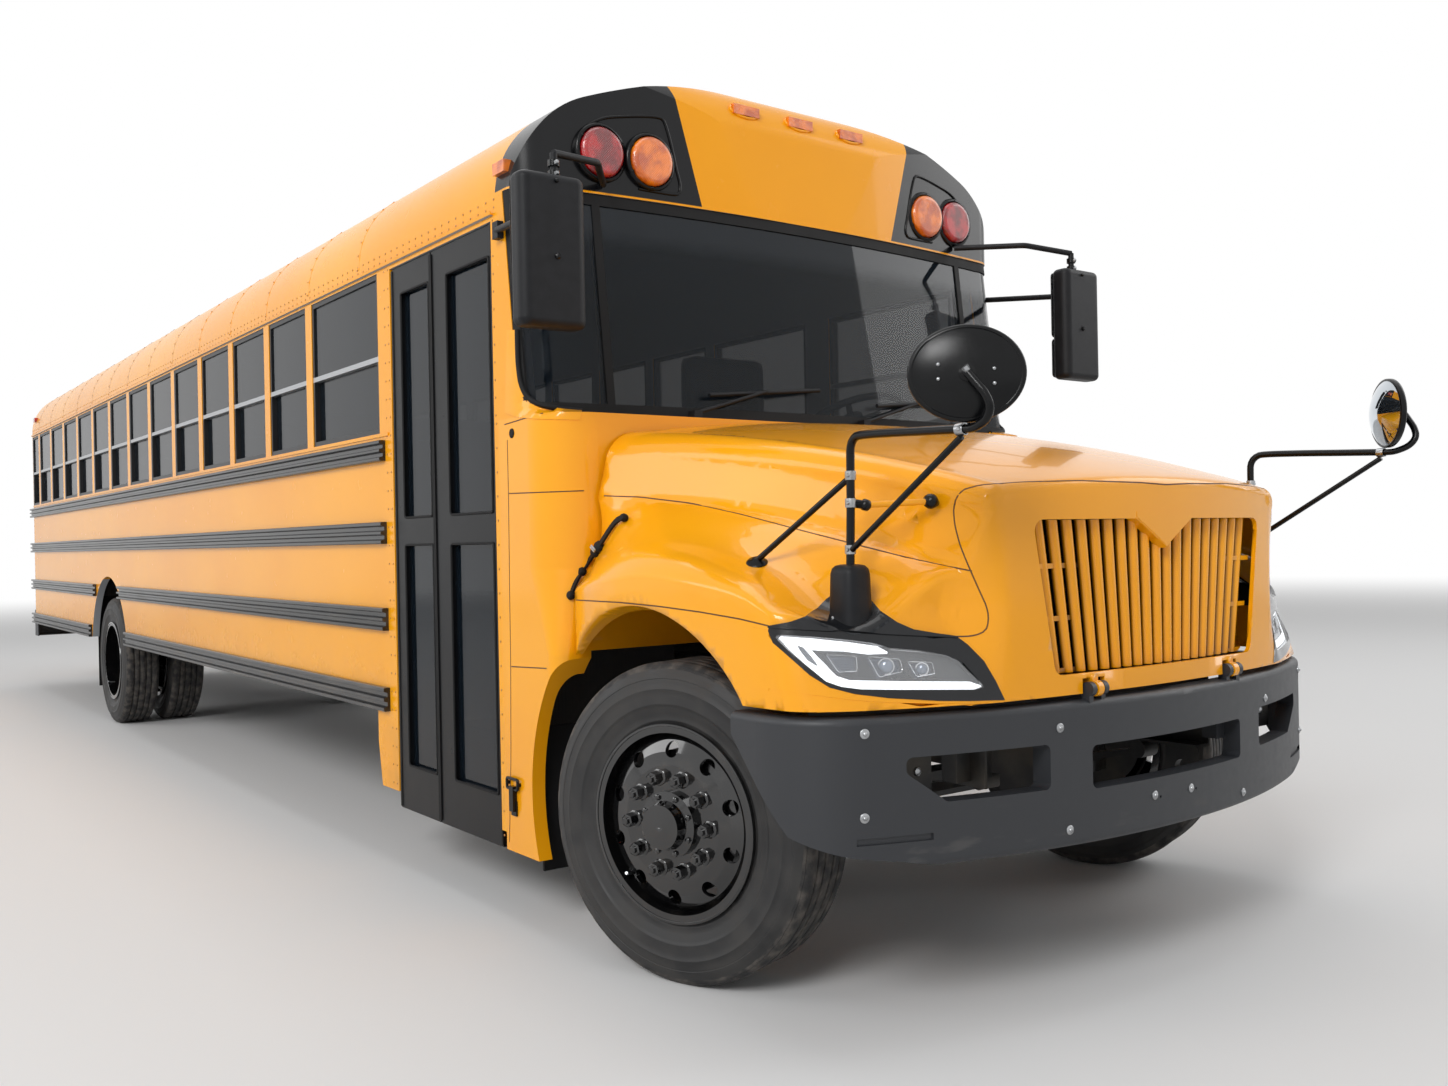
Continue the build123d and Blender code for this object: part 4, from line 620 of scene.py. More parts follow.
@finish
def lamp_bowl(s, colours):
    """Dark chrome cells, ribbed like a reflector, with painted highlights and shade along the ribs."""
    ribs = s.maths("SINE", s.split(s.place())[2] * 1400.0)
    # Painted highlight and shade: the colour turns lighter and darker with the ribs
    s.set(Base_Color=s.mix(s.step(ribs, -0.4, 0.6), paint(46, 50, 60), paint(104, 112, 126)))
    s.set(Roughness=0.2 + 0.1 * s.noise(50.0), Metallic=0.9)
    s.bump(ribs, 0.0008, 0.6)


@finish
def rust_steel(s, colours):
    """Exhaust metal with brown heat bloom."""
    bloom = s.step(s.noise(4.0, 8.0), 0.4, 0.7)
    s.set(Base_Color=s.mix(bloom, paint(112, 104, 96), paint(92, 56, 36)))
    s.set(Roughness=0.55 + 0.25 * bloom, Metallic=0.5)
    s.bump(s.noise(120.0, 5.0), 0.001, 0.5)


@finish
def chassis_black(s, colours):
    """Frame paint under a film of road dust."""
    dust = s.step(s.noise(5.0, 8.0), 0.45, 0.75) * 0.5
    s.set(Base_Color=s.mix(dust, paint(24, 24, 25), paint(96, 88, 76)))
    s.set(Roughness=0.5 + 0.35 * dust)
    s.bump(s.noise(160.0, 4.0), 0.0008, 0.5)


@finish
def wheel_black(s, colours):
    """Gloss black paint on the wheels, with thin patches of dust."""
    dust = s.step(s.noise(11.0, 7.0), 0.55, 0.8) * 0.22
    s.set(Base_Color=s.mix(dust, paint(11, 11, 12), paint(88, 80, 70)))
    s.set(Roughness=0.12 + 0.5 * dust, Coat_Weight=0.8, Coat_Roughness=0.03)
    s.bump(s.noise(25.0, 2.0), 0.0012, 0.25)


@finish
def tyre_side(s, colours):
    """Sidewall rubber, greyed in soft patches."""
    bloom = s.step(s.noise(9.0, 7.0), 0.35, 0.7)
    s.set(Base_Color=s.mix(bloom * 0.6, paint(26, 26, 27), paint(62, 60, 58)))
    s.set(Roughness=0.5 + 0.25 * bloom)
    s.bump(s.noise(500.0, 3.0), 0.0006, 0.6)


@finish
def tyre_tread(s, colours):
    """Tread rubber with patches of pale road dust."""
    dust = s.step(s.noise(22.0, 8.0), 0.35, 0.75)
    s.set(Base_Color=s.mix(dust * 0.7, paint(30, 30, 31), paint(104, 98, 92)))
    s.set(Roughness=0.78 + 0.15 * dust)
    s.bump(s.noise(350.0, 4.0), 0.0012, 0.7)


def glass(s, tint, cover):
    """Tinted glass: mostly see-through, with a bright clean gloss."""
    s.set(
        Base_Color=s.mix(s.noise(3.0, 2.0), tint, tuple(value * 0.7 for value in tint[:3]) + (1.0,)),
        Roughness=0.02 + 0.03 * s.step(s.noise(14.0, 7.0), 0.6, 0.8),
        Alpha=cover,
        IOR=1.5,
        Specular_IOR_Level=0.3,
        Coat_Weight=0.12,
        Coat_Roughness=0.01,
    )
    s.bump(s.noise(2.2, 1.0), 0.0006, 0.6)


@finish
def tinted_glass(s, colours):
    """Glass of the doors."""
    glass(s, colours.glass, 0.72)


@finish
def cabin_glass(s, colours):
    """Side windows, and a lighter windshield with a painted shadow along its top, under the cap."""
    x, _, z = s.split(s.place())
    screen = s.step(x, AXLE_X - 0.80, AXLE_X - 0.79)
    # Painted shadow: the windshield is darker along its top, under the cap's overhang
    cap_shadow = s.step(z, 2.36, 2.46)
    glass(s, colours.glass, 0.74 + screen * (0.5 * cap_shadow - 0.34))


@finish
def lamp_cover(s, colours):
    """Clear moulded cover of a headlight."""
    s.set(Base_Color=(0.9, 0.92, 0.95, 1.0), Alpha=0.10 + 0.05 * s.noise(6.0, 3.0), Coat_Weight=1.0)
    s.set(Roughness=0.02, IOR=1.45, Coat_Roughness=0.01)


def lens(s, deep, bright):
    """A coloured lens with rows of small prisms and brighter patches."""
    _, y, z = s.split(s.place())
    ripple = s.maths("SINE", y * 700.0) * s.maths("SINE", z * 700.0)
    s.set(Base_Color=s.mix(s.step(s.noise(16.0, 3.0), 0.35, 0.65), deep, bright))
    s.set(Roughness=0.14 + 0.04 * s.noise(8.0), Coat_Weight=1.0, Coat_Roughness=0.02)
    s.bump(ripple, 0.0012, 0.5)


@finish
def red_lens(s, colours):
    lens(s, paint(118, 8, 14), colours.lamp_red)


@finish
def amber_lens(s, colours):
    lens(s, paint(196, 84, 6), colours.lamp_amber)


@finish
def lit_strip(s, colours):
    """The white light guide in the headlight."""
    s.set(Base_Color=(0.95, 0.97, 1.0, 1.0), Roughness=0.25 + 0.05 * s.noise(40.0))
    s.set(Emission_Color=s.mix(s.noise(60.0), (0.86, 0.93, 1.0, 1.0), (1.0, 1.0, 1.0, 1.0)))
    s.set(Emission_Strength=0.9)


@finish
def seat_vinyl(s, colours):
    """Coated seat cloth with a fine leather grain."""
    settings = {"feature": "DISTANCE_TO_EDGE"}
    grain = s.node("ShaderNodeTexVoronoi", settings, {"Vector": s.place(), "Scale": 260.0})
    wear = s.step(s.noise(5.0, 4.0), 0.4, 0.75)
    s.set(Base_Color=s.mix(wear * 0.5, tuple(colours.seat), paint(74, 78, 84)))
    s.set(Roughness=0.42 + 0.15 * wear, Sheen_Weight=0.1)
    s.bump(s.step(grain, 0.0, 0.08), 0.0008, 0.5)


@finish
def floor_rubber(s, colours):
    """Ribbed floor covering above, dusty paint below."""
    y = s.split(s.place())[1]
    under = s.step(s.split(s.facing())[2], 0.2, -0.2)
    ribs = s.step(s.maths("SINE", y * 420.0), -0.2, 0.6)
    s.set(Base_Color=s.mix(under, paint(42, 43, 45), paint(52, 49, 44)))
    s.set(Roughness=0.6 + 0.2 * s.noise(20.0, 5.0))
    s.bump(ribs * (1.0 - under) + 0.3 * s.noise(120.0, 4.0), 0.0015, 0.7)


@finish
def sash_finish(s, colours):
    """Black window frames with bare metal on the rail where the two panes meet."""
    z = s.split(s.place())[2]
    rail = s.step(s.maths("ABSOLUTE", z - 2.128), 0.0125, 0.0115)
    scratch = s.noise(60.0, 5.0, s.stretched((0.2, 1.0, 6.0)))
    s.set(Base_Color=s.mix(rail, tuple(colours.trim_black), paint(178, 180, 182)))
    s.set(Roughness=0.34 + 0.12 * scratch, Metallic=rail * 0.9)
    s.bump(scratch, 0.0003, 0.4)


# Middle of the stop arm's plate
STOP_CENTRE = (-1340, 1281, 1560)


@finish
def stop_sign(s, colours):
    """A blank red eight-sided face with a white border."""
    x, _, z = s.split(s.vector("SUBTRACT", s.place(), tuple(at(*STOP_CENTRE))))
    across = s.maths("ABSOLUTE", x)
    up = s.maths("ABSOLUTE", z)
    reach = s.maths("MAXIMUM", s.maths("MAXIMUM", across, up), (across + up) * 0.7071)
    border = s.step(reach, 0.2075, 0.2085) * s.step(reach, 0.2205, 0.2195)
    s.set(Base_Color=s.mix(border, paint(176, 14, 18), paint(238, 238, 236)))
    s.set(Roughness=0.3 + 0.1 * s.noise(18.0, 4.0), Coat_Weight=0.3)
    s.bump(s.noise(220.0, 2.0), 0.0003, 0.4)


@finish
def radiator_fins(s, colours):
    """Level metal fins, with painted shade in the darker stripes between them."""
    fins = s.maths("SINE", s.split(s.place())[2] * 900.0)
    # Dark metal fins; the darker stripes between them are painted shade
    s.set(Base_Color=s.mix(s.step(fins, -0.3, 0.5), paint(10, 10, 11), paint(44, 45, 47)))
    s.set(Roughness=0.5 + 0.1 * s.noise(12.0), Metallic=0.5)
    s.bump(fins, 0.002, 0.8)


# Which finish each CAD node gets
NODE_FINISHES = {
    "body_paint": (
        "side_wall_left", "side_wall_right", "rear_wall", "roof", "rear_door",
    ),
    "hood_paint": ("hood", "cowl"),
    "grille_paint": ("grille",),
    "cap_paint": ("front_cap",),
    "door_black": ("door_front_leaf", "door_rear_leaf"),
    "rail_black": ("rub_rails",),
    "bumper_black": ("front_bumper", "rear_bumper"),
    "moulded_black": ("side_mirrors", "wipers", "steering_wheel"),
    "trim_black": ("crossover_mirrors",),
    "rubber": ("mud_flaps", "windshield_frame"),
    "tinted_glass": ("door_front_glass", "door_rear_glass", "rear_door_glass"),
    "cabin_glass": ("window_glass",),
    "sash_finish": ("window_sashes",),
    "lamp_cover": ("headlights",),
    "red_lens": ("red_lamps",),
    "amber_lens": ("amber_lamps",),
    "floor_rubber": ("floor",),
    "dash_plastic": ("dashboard",),
    "steel": ("seat_frames",),
    "stop_sign": ("stop_arm",),
    "hatch_white": ("roof_hatch_front", "roof_hatch_rear"),
    "radiator_fins": ("radiator",),
    "chassis_black": (
        "chassis_frame", "front_axle", "rear_axle", "leaf_springs", "drive_shaft", "tie_rod",
        "front_right_knuckle", "front_left_knuckle", "fuel_tank",
    ),
    "dark_steel": ("engine_block",),
    "rust_steel": ("exhaust",),
    "wheel_black": (
        "front_right_wheel", "front_left_wheel", "rear_right_wheels", "rear_left_wheels",
    ),
    "tyre_side": (
        "front_right_tyre", "front_left_tyre", "rear_right_tyres", "rear_left_tyres",
    ),
    "seat_vinyl": ("seats",),
}


class BusColours(bpy.types.PropertyGroup):
    """Colours that a user would change."""

    body: bpy.props.FloatVectorProperty(
        name="Body", description="Main body paint", subtype="COLOR", size=4,
        default=paint(250, 170, 14),
    )
    body_shade: bpy.props.FloatVectorProperty(
        name="Body shade", description="Body paint where it is a little deeper",
        subtype="COLOR", size=4, default=paint(244, 162, 10),
    )
    lining: bpy.props.FloatVectorProperty(
        name="Lining", description="Inner faces of the cabin", subtype="COLOR", size=4,
        default=paint(150, 154, 158),
    )
    trim_black: bpy.props.FloatVectorProperty(
        name="Trim black", description="Rails, doors and cap corners", subtype="COLOR", size=4,
        default=paint(10, 11, 14),
    )
    glass: bpy.props.FloatVectorProperty(
        name="Glass", description="Tint of the glass", subtype="COLOR", size=4,
        default=paint(20, 28, 36),
    )
    dust: bpy.props.FloatVectorProperty(
        name="Dust", description="Road dust on the paint", subtype="COLOR", size=4,
        default=paint(150, 122, 84),
    )
    lamp_red: bpy.props.FloatVectorProperty(
        name="Red lens", description="Warning lamps and stop lamps", subtype="COLOR", size=4,
        default=paint(190, 20, 24),
    )
    lamp_amber: bpy.props.FloatVectorProperty(
        name="Amber lens", description="Amber warning and marker lamps", subtype="COLOR", size=4,
        default=paint(248, 130, 12),
    )
    seat: bpy.props.FloatVectorProperty(
        name="Seat", description="Seat covering", subtype="COLOR", size=4,
        default=paint(46, 50, 56),
    )


class BusSizes(bpy.types.PropertyGroup):
    """Sizes that a user would change."""

    rivet_radius: bpy.props.FloatProperty(
        name="Rivet radius", description="Radius of a rivet's head", unit="LENGTH", default=0.0048,
    )
    rivet_pitch: bpy.props.FloatProperty(
        name="Rivet pitch", description="Distance between rivets in a row", unit="LENGTH", default=0.062,
    )
    groove_depth: bpy.props.FloatProperty(
        name="Groove depth", description="Depth of the tyre's grooves", unit="LENGTH", default=0.013,
    )
    groove_width: bpy.props.FloatProperty(
        name="Groove width", description="Width of the tyre's grooves", unit="LENGTH", default=0.009,
    )
    seam_width: bpy.props.FloatProperty(
        name="Seam width", description="Width of the gaps between hood panels", unit="LENGTH",
        default=0.004,
    )
    crown: bpy.props.FloatProperty(
        name="Seat crown", description="How far a seat's padding stands up in its middle",
        unit="LENGTH", default=0.014,
    )


def make_finishes(colours):
    """Makes every finish under its name."""
    for name, (colour, roughness, spread, scale, rest) in PLAIN_FINISHES.items():
        shader = Shader(name)
        chosen = getattr(colours, colour) if isinstance(colour, str) else paint(*colour)
        plain(shader, chosen, roughness, spread, scale, **rest)
        FINISHES[name] = shader.material
    for name, make in FINISH_MAKERS.items():
        shader = Shader(name)
        make(shader, colours)
        FINISHES[name] = shader.material


def colour_nodes():
    """Gives each CAD node its finish."""
    make_finishes(bpy.context.scene.bus_colours)
    for name, nodes in NODE_FINISHES.items():
        for node in nodes:
            mesh = frame["nodes"][node].data
            mesh.materials.clear()
            mesh.materials.append(FINISHES[name])
            if not mesh.has_custom_normals:
                mesh.shade_smooth()
                mesh.set_sharp_from_angle(angle=math.radians(30))


# Wheels

TYRE_RADIUS = 0.485
# Sidewall, bead to shoulder: radius and distance from the tyre's middle plane
SIDEWALL = (
    (0.2860, 0.1040), (0.3015, 0.1050), (0.3060, 0.1085), (0.3120, 0.1105), (0.3150, 0.1092),
    (0.3300, 0.1150), (0.3480, 0.1210), (0.3560, 0.1236), (0.3575, 0.1254), (0.3620, 0.1256),
    (0.3640, 0.1254), (0.3850, 0.1280), (0.4020, 0.1278), (0.4035, 0.1290), (0.4060, 0.1290),
    (0.4075, 0.1274), (0.4250, 0.1250), (0.4350, 0.1226), (0.4365, 0.1238), (0.4420, 0.1224),
    (0.4480, 0.1190), (0.4560, 0.1150),
)
SHOULDER = (
    (0.4640, 0.1120), (0.4720, 0.1085), (0.4725, 0.1060), (0.4760, 0.1045), (0.4815, 0.0980),
    (0.4840, 0.0915), (0.4850, 0.0850),
)
# Middles of the grooves
GROOVES = (0.0605, 0.0225, -0.0225, -0.0605)
# Steps round the tyre: the shoulders have a notch at every fourth
TYRE_STEPS = 168
NOTCH_STEPS = 4
NOTCH_DEPTH = 0.0022


def tread_line(sizes):
    """The tread from one shoulder to the other, with its grooves."""
    half = sizes.groove_width / 2
    floor = TYRE_RADIUS - sizes.groove_depth
    line = []
    for middle in GROOVES:
        line += [(TYRE_RADIUS - 0.0008, middle + half + 0.0012), (TYRE_RADIUS - 0.002, middle + half)]
        line += [(floor, middle + half * 0.6), (floor, middle - half * 0.6)]
        line += [(TYRE_RADIUS - 0.002, middle - half), (TYRE_RADIUS - 0.0008, middle - half - 0.0012)]
    return line


def add_tyre(shape, centre, axis, sizes):
    """One tyre: ringed sidewalls, grooved tread and notched shoulders."""
    axis = Vector(axis).normalized()
    across = axis.orthogonal().normalized()
    up = axis.cross(across)
    near = [*SIDEWALL, *SHOULDER]
    far = [(radius, -width) for radius, width in reversed(near)]
    profile = [*near, *tread_line(sizes), *far]
    tread = range(len(SIDEWALL), len(profile) - len(SIDEWALL))
    shoulders = set(range(len(SIDEWALL), len(SIDEWALL) + 4))
    shoulders |= {len(profile) - 1 - index for index in shoulders}
    rings = []
    for step in range(TYRE_STEPS):
        turn = 2 * math.pi * step / TYRE_STEPS
        spoke = across * math.cos(turn) + up * math.sin(turn)
        dip = NOTCH_DEPTH if step % NOTCH_STEPS == 0 else 0.0
        ring = []
        for index, (radius, width) in enumerate(profile):
            reach = radius - dip if index in shoulders else radius
            ring.append(centre + spoke * reach + axis * width)
        rings.append(ring)
    first = len(shape.numbers)
    shape.rings(rings, loop=True)
    shape.numbers[first:] = [int(index in tread) for index in range(len(profile))] * TYRE_STEPS


# Each wheel set: name stem, its body, its tyre node's last word, tyre places along the axle
WHEELS = (
    ("front_right", "front_right_wheel", "tyre", (0.0,)),
    ("front_left", "front_left_wheel", "tyre", (0.0,)),
    ("rear_right", "rear_right_wheels", "tyres", (-0.1625, 0.1625)),
    ("rear_left", "rear_left_wheels", "tyres", (-0.1625, 0.1625)),
)
# Faces that carry the nuts and the hub's bolts, out from the middle plane, and those bolts' circle
WHEEL_FACES = {"front": (0.116, 0.140, 0.087), "rear": (0.010, 0.048, 0.093)}
STUDS = 10
STUD_CIRCLE = 0.1429
HUB_BOLTS = 8
VALVE_CIRCLE = 0.262
# Turned parts, as pairs of radius and height
NUT_FLANGE = ((0.026, 0.0), (0.026, 0.004), (0.0215, 0.007))
NUT_SIDES = ((0.0205, 0.006), (0.0205, 0.039), (0.0165, 0.043), (0.012, 0.043))
STUD_END = ((0.011, 0.041), (0.011, 0.050), (0.009, 0.052))
HUB_BOLT = ((0.009, 0), (0.009, 0.007), (0.006, 0.009))
RIM_LIP = (
    (0.2975, 0.0), (0.3000, 0.0015), (0.2990, 0.004), (0.2930, 0.005), (0.2915, 0.003), (0.2925, 0.0),
)


def spin_of(body):
    """The axis that a body turns about, pointing away from the bus."""
    joint = next(j for j in frame["joints"] if j["child"] == body)
    axis = Vector(joint["axis"])
    side = RIGHT if "right" in body else LEFT
    return axis if axis.y * side > 0 else -axis


def spokes(axis, first, count, start=0.0):
    """Directions evenly spaced about an axis, from a first one."""
    turns = [2 * math.pi * (index + start) / count for index in range(count)]
    return [Matrix.Rotation(turn, 3, axis) @ first for turn in turns]


def make_wheels(sizes):
    """Tyres, and the nuts, hub bolts, valve and rim lips of each wheel."""
    for stem, body, word, places in WHEELS:
        node = f"{stem}_{word}"
        axis = spin_of(body)
        low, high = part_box(node)
        middle = (low + high) / 2
        tyres = Shape()
        for place in places:
            add_tyre(tyres, middle + axis * place, axis, sizes)
        tyres.piece(f"{stem}_tread", ["tyre_side", "tyre_tread"], body, smooth=50,
                    replaces=[node], slot="tyre_rubber")
        face, hub, hub_circle = WHEEL_FACES[stem.split("_")[0]]
        across = axis.orthogonal().normalized()
        level = Vector((0, 0, 1)).cross(axis).normalized()
        nuts = Shape()
        for stud in spokes(axis, level, STUDS):
            centre = middle + axis * face + stud * STUD_CIRCLE
            nuts.turned(NUT_FLANGE, centre, axis, 18)
            nuts.turned(NUT_SIDES, centre, axis, 6)
            nuts.turned(STUD_END, centre, axis, 14)
        for bolt in spokes(axis, across, HUB_BOLTS, 0.5):
            nuts.turned(HUB_BOLT, middle + axis * hub + bolt * hub_circle, axis, 6)
        rim = places[-1] + 0.118
        valve = middle + across * VALVE_CIRCLE
        line = [valve + axis * (rim - 0.05), valve + axis * (rim - 0.02)]
        line.append(valve + axis * rim - across * 0.012)
        nuts.tube(line, 0.005, 8, number=1)
        for place in places:
            nuts.turned(RIM_LIP, middle + axis * (place + 0.1165), axis, 96, ends=False)
        nuts.piece(f"{stem}_nuts", ["wheel_black", "steel"], body, smooth=40, slot="wheel_black")


# Seats

SEAT_ROWS = 12
SEAT_PITCH = 700
SEAT_FIRST_X = -2500
# Outer edge of a bench, and its width
BENCH_OUTER = 1157
BENCH_WIDTH = 960
# Corners of the driver's pads, and of the guards ahead of the benches
DRIVER_PADS = (((-1900, 360, 1470), (-1400, 860, 1600)), ((-2000, 370, 1530), (-1900, 850, 2260)))
GUARD_PADS = (((-2080, -1157, 1120), (-2030, -257, 1800)), ((-2140, 257, 1120), (-2090, 1157, 2000)))
# About the size of a pad's faces
PAD_CUT = 0.05


def add_pad(shape, low, high, radius, crown, channels=0):
    """A crowned pad in a box: round edges, sides pulled in, and sewn channels."""
    low, high = Vector(low), Vector(high)
    half = (high - low) / 2
    centre = (high + low) / 2
    counts = [max(4, min(14, int(size / PAD_CUT))) for size in half * 2]
    thin = min(range(3), key=lambda k: half[k])
    wide = [k for k in range(3) if k != thin]

    def placed(unit):
        core = Vector((min(max(unit[k] * half[k], radius - half[k]), half[k] - radius) for k in range(3)))
        offset = Vector((unit[k] * half[k] for k in range(3))) - core
        point = core + (offset.normalized() * radius if offset.length > 1e-9 else offset)
        u, v = unit[wide[0]], unit[wide[1]]
        swell = (1 - u * u) * (1 - v * v)
        point[thin] += math.copysign(crown * swell * abs(unit[thin]) - crown * 0.8, unit[thin])
        if channels:
            phase = (unit[1] + 1) / 2 * channels
            near = abs(phase - round(phase))
            if 0 < round(phase) < channels:
                point[thin] -= math.copysign(0.006 * max(0.0, 1 - near * 8), unit[thin])
        return centre + point

    for axis in range(3):
        u_axis, v_axis = [k for k in range(3) if k != axis]
        for end in (-1, 1):
            grid = []
            for i in range(counts[u_axis] + 1):
                row = []
                for j in range(counts[v_axis] + 1):
                    unit = [0.0, 0.0, 0.0]
                    unit[axis] = end
                    unit[u_axis] = -1 + 2 * i / counts[u_axis]
                    unit[v_axis] = -1 + 2 * j / counts[v_axis]
                    row.append(placed(unit))
                grid.append(row)
            shape.rings(grid, closed=False)


def weld(thing):
    """Joins the points where patches of one pad meet."""
    mesh = bmesh.new()
    mesh.from_mesh(thing.data)
    bmesh.ops.remove_doubles(mesh, verts=mesh.verts, dist=0.0004)
    bmesh.ops.recalc_face_normals(mesh, faces=mesh.faces)
    mesh.to_mesh(thing.data)
    mesh.free()
    thing.data.shade_smooth()
    return thing


def make_seats(sizes):
    """Padded benches in two rows, the driver's seat, and the guards ahead of the benches."""
    cushions, backs, driver, guards = (Shape() for _ in range(4))
    for row in range(SEAT_ROWS):
        x = SEAT_FIRST_X - row * SEAT_PITCH
        for side in (RIGHT, LEFT):
            low, high = sorted((side * (BENCH_OUTER - BENCH_WIDTH), side * BENCH_OUTER))
            add_pad(cushions, at(x - 380, low, 1310), at(x, high, 1440), 0.035, sizes.crown, channels=3)
            add_pad(backs, at(x - 470, low, 1400), at(x - 385, high, 1990), 0.038, sizes.crown)
    for low, high in DRIVER_PADS:
        add_pad(driver, at(*low), at(*high), 0.045, sizes.crown, channels=3)
    for low, high in GUARD_PADS:
        add_pad(guards, at(*low), at(*high), 0.022, 0.006)
    pads = (
        (cushions, "bench_cushions"),
        (backs, "bench_backs"),
        (driver, "driver_pads"),
        (guards, "front_guards"),
    )
    for shape, name in pads:
        thing = shape.piece(name, ["seat_vinyl"], "bus_body", replaces=["seats"], slot="seat_vinyl")
        weld(thing)


# Body and doors

# How far the side walls' faces are from the middle
WALL = 1219
# Roof: half width, foot, and the radii of its shoulders and its crown
ROOF_HALF, ROOF_FOOT, SHOULDER_RADIUS, CROWN_RADIUS = 1219, 2540, 388, 2736
# Roof seams: where their row starts, how far apart they are, how many, and one's section
SEAM_START, SEAM_PITCH, ROOF_SEAMS = -1512, 649.4, 14
SEAM_RISE = 0.0016
SEAM_SECTION = ((-16, -0.001), (16, -0.001), (16, SEAM_RISE), (-16, SEAM_RISE))
# Sections of the gutter and of the sill below the windows: out from the wall, and height
GUTTER = ((-2, 2496), (12, 2499), (14, 2509), (10, 2510), (9, 2504), (-2, 2503))
SILL = ((-2, 1795), (5, 1795), (5, 1808), (-2, 1809))
# Upright rows of rivets: place, foot, top, and their pitch where it isn't the usual one
BOTH_SIDES_ROWS = ((-10990, 660, 2480, None), (-870, 1790, 2480, None))
DOOR_SIDE_ROWS = ((-1868, 345, 2480, 0.075), (-1829, 345, 2480, 0.075), (-868, 300, 1760, 0.085))
# Rub rails: bolts' face, heights, ends, and the gap at the rear wheels in the two low ones
RAIL_FACE = 1231
HIGH_RAILS, LOW_RAILS = (1736, 1390), (1026, 690)
RAIL_REAR, RAIL_GAP = -11050, (-8230, -6830)
RAIL_BOLT_PITCH = 0.16
# Rows of rivets along the roof's foot: their heights and ends
FOOT_ROWS, FOOT_ENDS = (2524, 2552), (-10970, -856)
# Rear end of the gutters and sills, and the front ends of gutters, sills and rails by side
STRIP_REAR, GUTTER_FRONT = -10990, -862
SILL_FRONT = {RIGHT: -1850, LEFT: -860}
RAIL_FRONT = {RIGHT: -1910, LEFT: -800}


def add_rivets(shape, start, end, normal, sizes, pitch=None):
    """A row of round heads from one point to another."""
    start, end = Vector(start), Vector(end)
    count = max(1, round((end - start).length / (pitch or sizes.rivet_pitch)))
    for index in range(count + 1):
        add_head(shape, start.lerp(end, index / count), normal, sizes.rivet_radius)


def add_head(shape, place, normal, radius, number=0, sides=7, rise=0.42):
    """A domed head; with six sides and a larger rise it is a bolt's."""
    profile = ((radius, -0.0005), (radius * 0.86, radius * rise * 0.6), (radius * 0.4, radius * rise))
    shape.turned(profile, place, normal, sides, number)


def roof_line(count):
    """Points over the roof from right to left with their outward normals."""
    inner = ROOF_HALF - SHOULDER_RADIUS
    drop = math.sqrt((CROWN_RADIUS - SHOULDER_RADIUS) ** 2 - inner**2)
    meet = math.atan2(drop, inner)
    arc = SHOULDER_RADIUS * meet
    top = CROWN_RADIUS * (math.pi / 2 - meet)
    line = []
    for share in np.linspace(0, 1, count):
        run = share * 2 * (arc + top)
        side = RIGHT if run < arc + top else LEFT
        run = min(run, 2 * (arc + top) - run)
        if run < arc:
            turn = run / SHOULDER_RADIUS
            y = inner + SHOULDER_RADIUS * math.cos(turn)
            z = ROOF_FOOT + SHOULDER_RADIUS * math.sin(turn)
        else:
            turn = meet + (run - arc) / CROWN_RADIUS
            y = CROWN_RADIUS * math.cos(turn)
            z = ROOF_FOOT - drop + CROWN_RADIUS * math.sin(turn)
        line.append((side * y, z, Vector((0, side * math.cos(turn), math.sin(turn)))))
    return line


def make_body_trim(sizes):
    """Roof seams, gutters, sills, rows of rivets, and the bolts of the rub rails."""
    seams, rivets, bolts = Shape(), Shape(), Shape()
    for index in range(ROOF_SEAMS):
        x = SEAM_START - SEAM_PITCH - index * SEAM_PITCH
        seams.rings([
            [at(x + along, y, z) + normal * rise for along, rise in SEAM_SECTION]
            for y, z, normal in roof_line(49)
        ])
        for y, z, normal in roof_line(47):
            add_head(rivets, at(x, y, z) + normal * SEAM_RISE, normal, sizes.rivet_radius)
    for side in (RIGHT, LEFT):
        out = Vector((0, side, 0))
        face = side * WALL
        for z in FOOT_ROWS:
            start, end = (at(x, face, z) for x in FOOT_ENDS)
            add_rivets(rivets, start, end, out, sizes)
        for section, front in ((GUTTER, GUTTER_FRONT), (SILL, SILL_FRONT[side])):
            ends = (STRIP_REAR, front)
            seams.rings([[at(x, side * (WALL + y), z) for y, z in section] for x in ends])
        rows = BOTH_SIDES_ROWS + (DOOR_SIDE_ROWS if side == RIGHT else ())
        for x, foot, top, pitch in rows:
            add_rivets(rivets, at(x, face, foot), at(x, face, top), out, sizes, pitch)
        front = RAIL_FRONT[side]
        whole, split = ((RAIL_REAR, front),), ((RAIL_REAR, RAIL_GAP[0]), (RAIL_GAP[1], front))
        rails = [(z, span) for z in HIGH_RAILS for span in whole]
        rails += [(z, span) for z in LOW_RAILS for span in split]
        for z, (low, high) in rails:
            start, end = at(low, side * RAIL_FACE, z), at(high, side * RAIL_FACE, z)
            add_rivets(bolts, start, end, out, sizes, RAIL_BOLT_PITCH)
    seams.piece("body_seams", ["body_paint"], "bus_body", smooth=30, slot="yellow_paint")
    # The rivets' darker colour is painted shade
    rivets.piece("body_rivets", ["rivet_paint"], "bus_body", smooth=60, slot="yellow_paint")
    bolts.piece("rail_bolts", ["rail_black"], "bus_body", smooth=60, slot="black_paint")


# Each door leaf: its body, the edge where the two meet, its hinge, and its glass from rear to front
DOOR_LEAVES = (
    ("door_front_leaf", -1410, -897, (-1273, -916)),
    ("door_rear_leaf", -1422, -1799, (-1708, -1436)),
)
# Feet and tops of the two panes in a leaf
PANES = ((436, 1337), (1448, 2364))


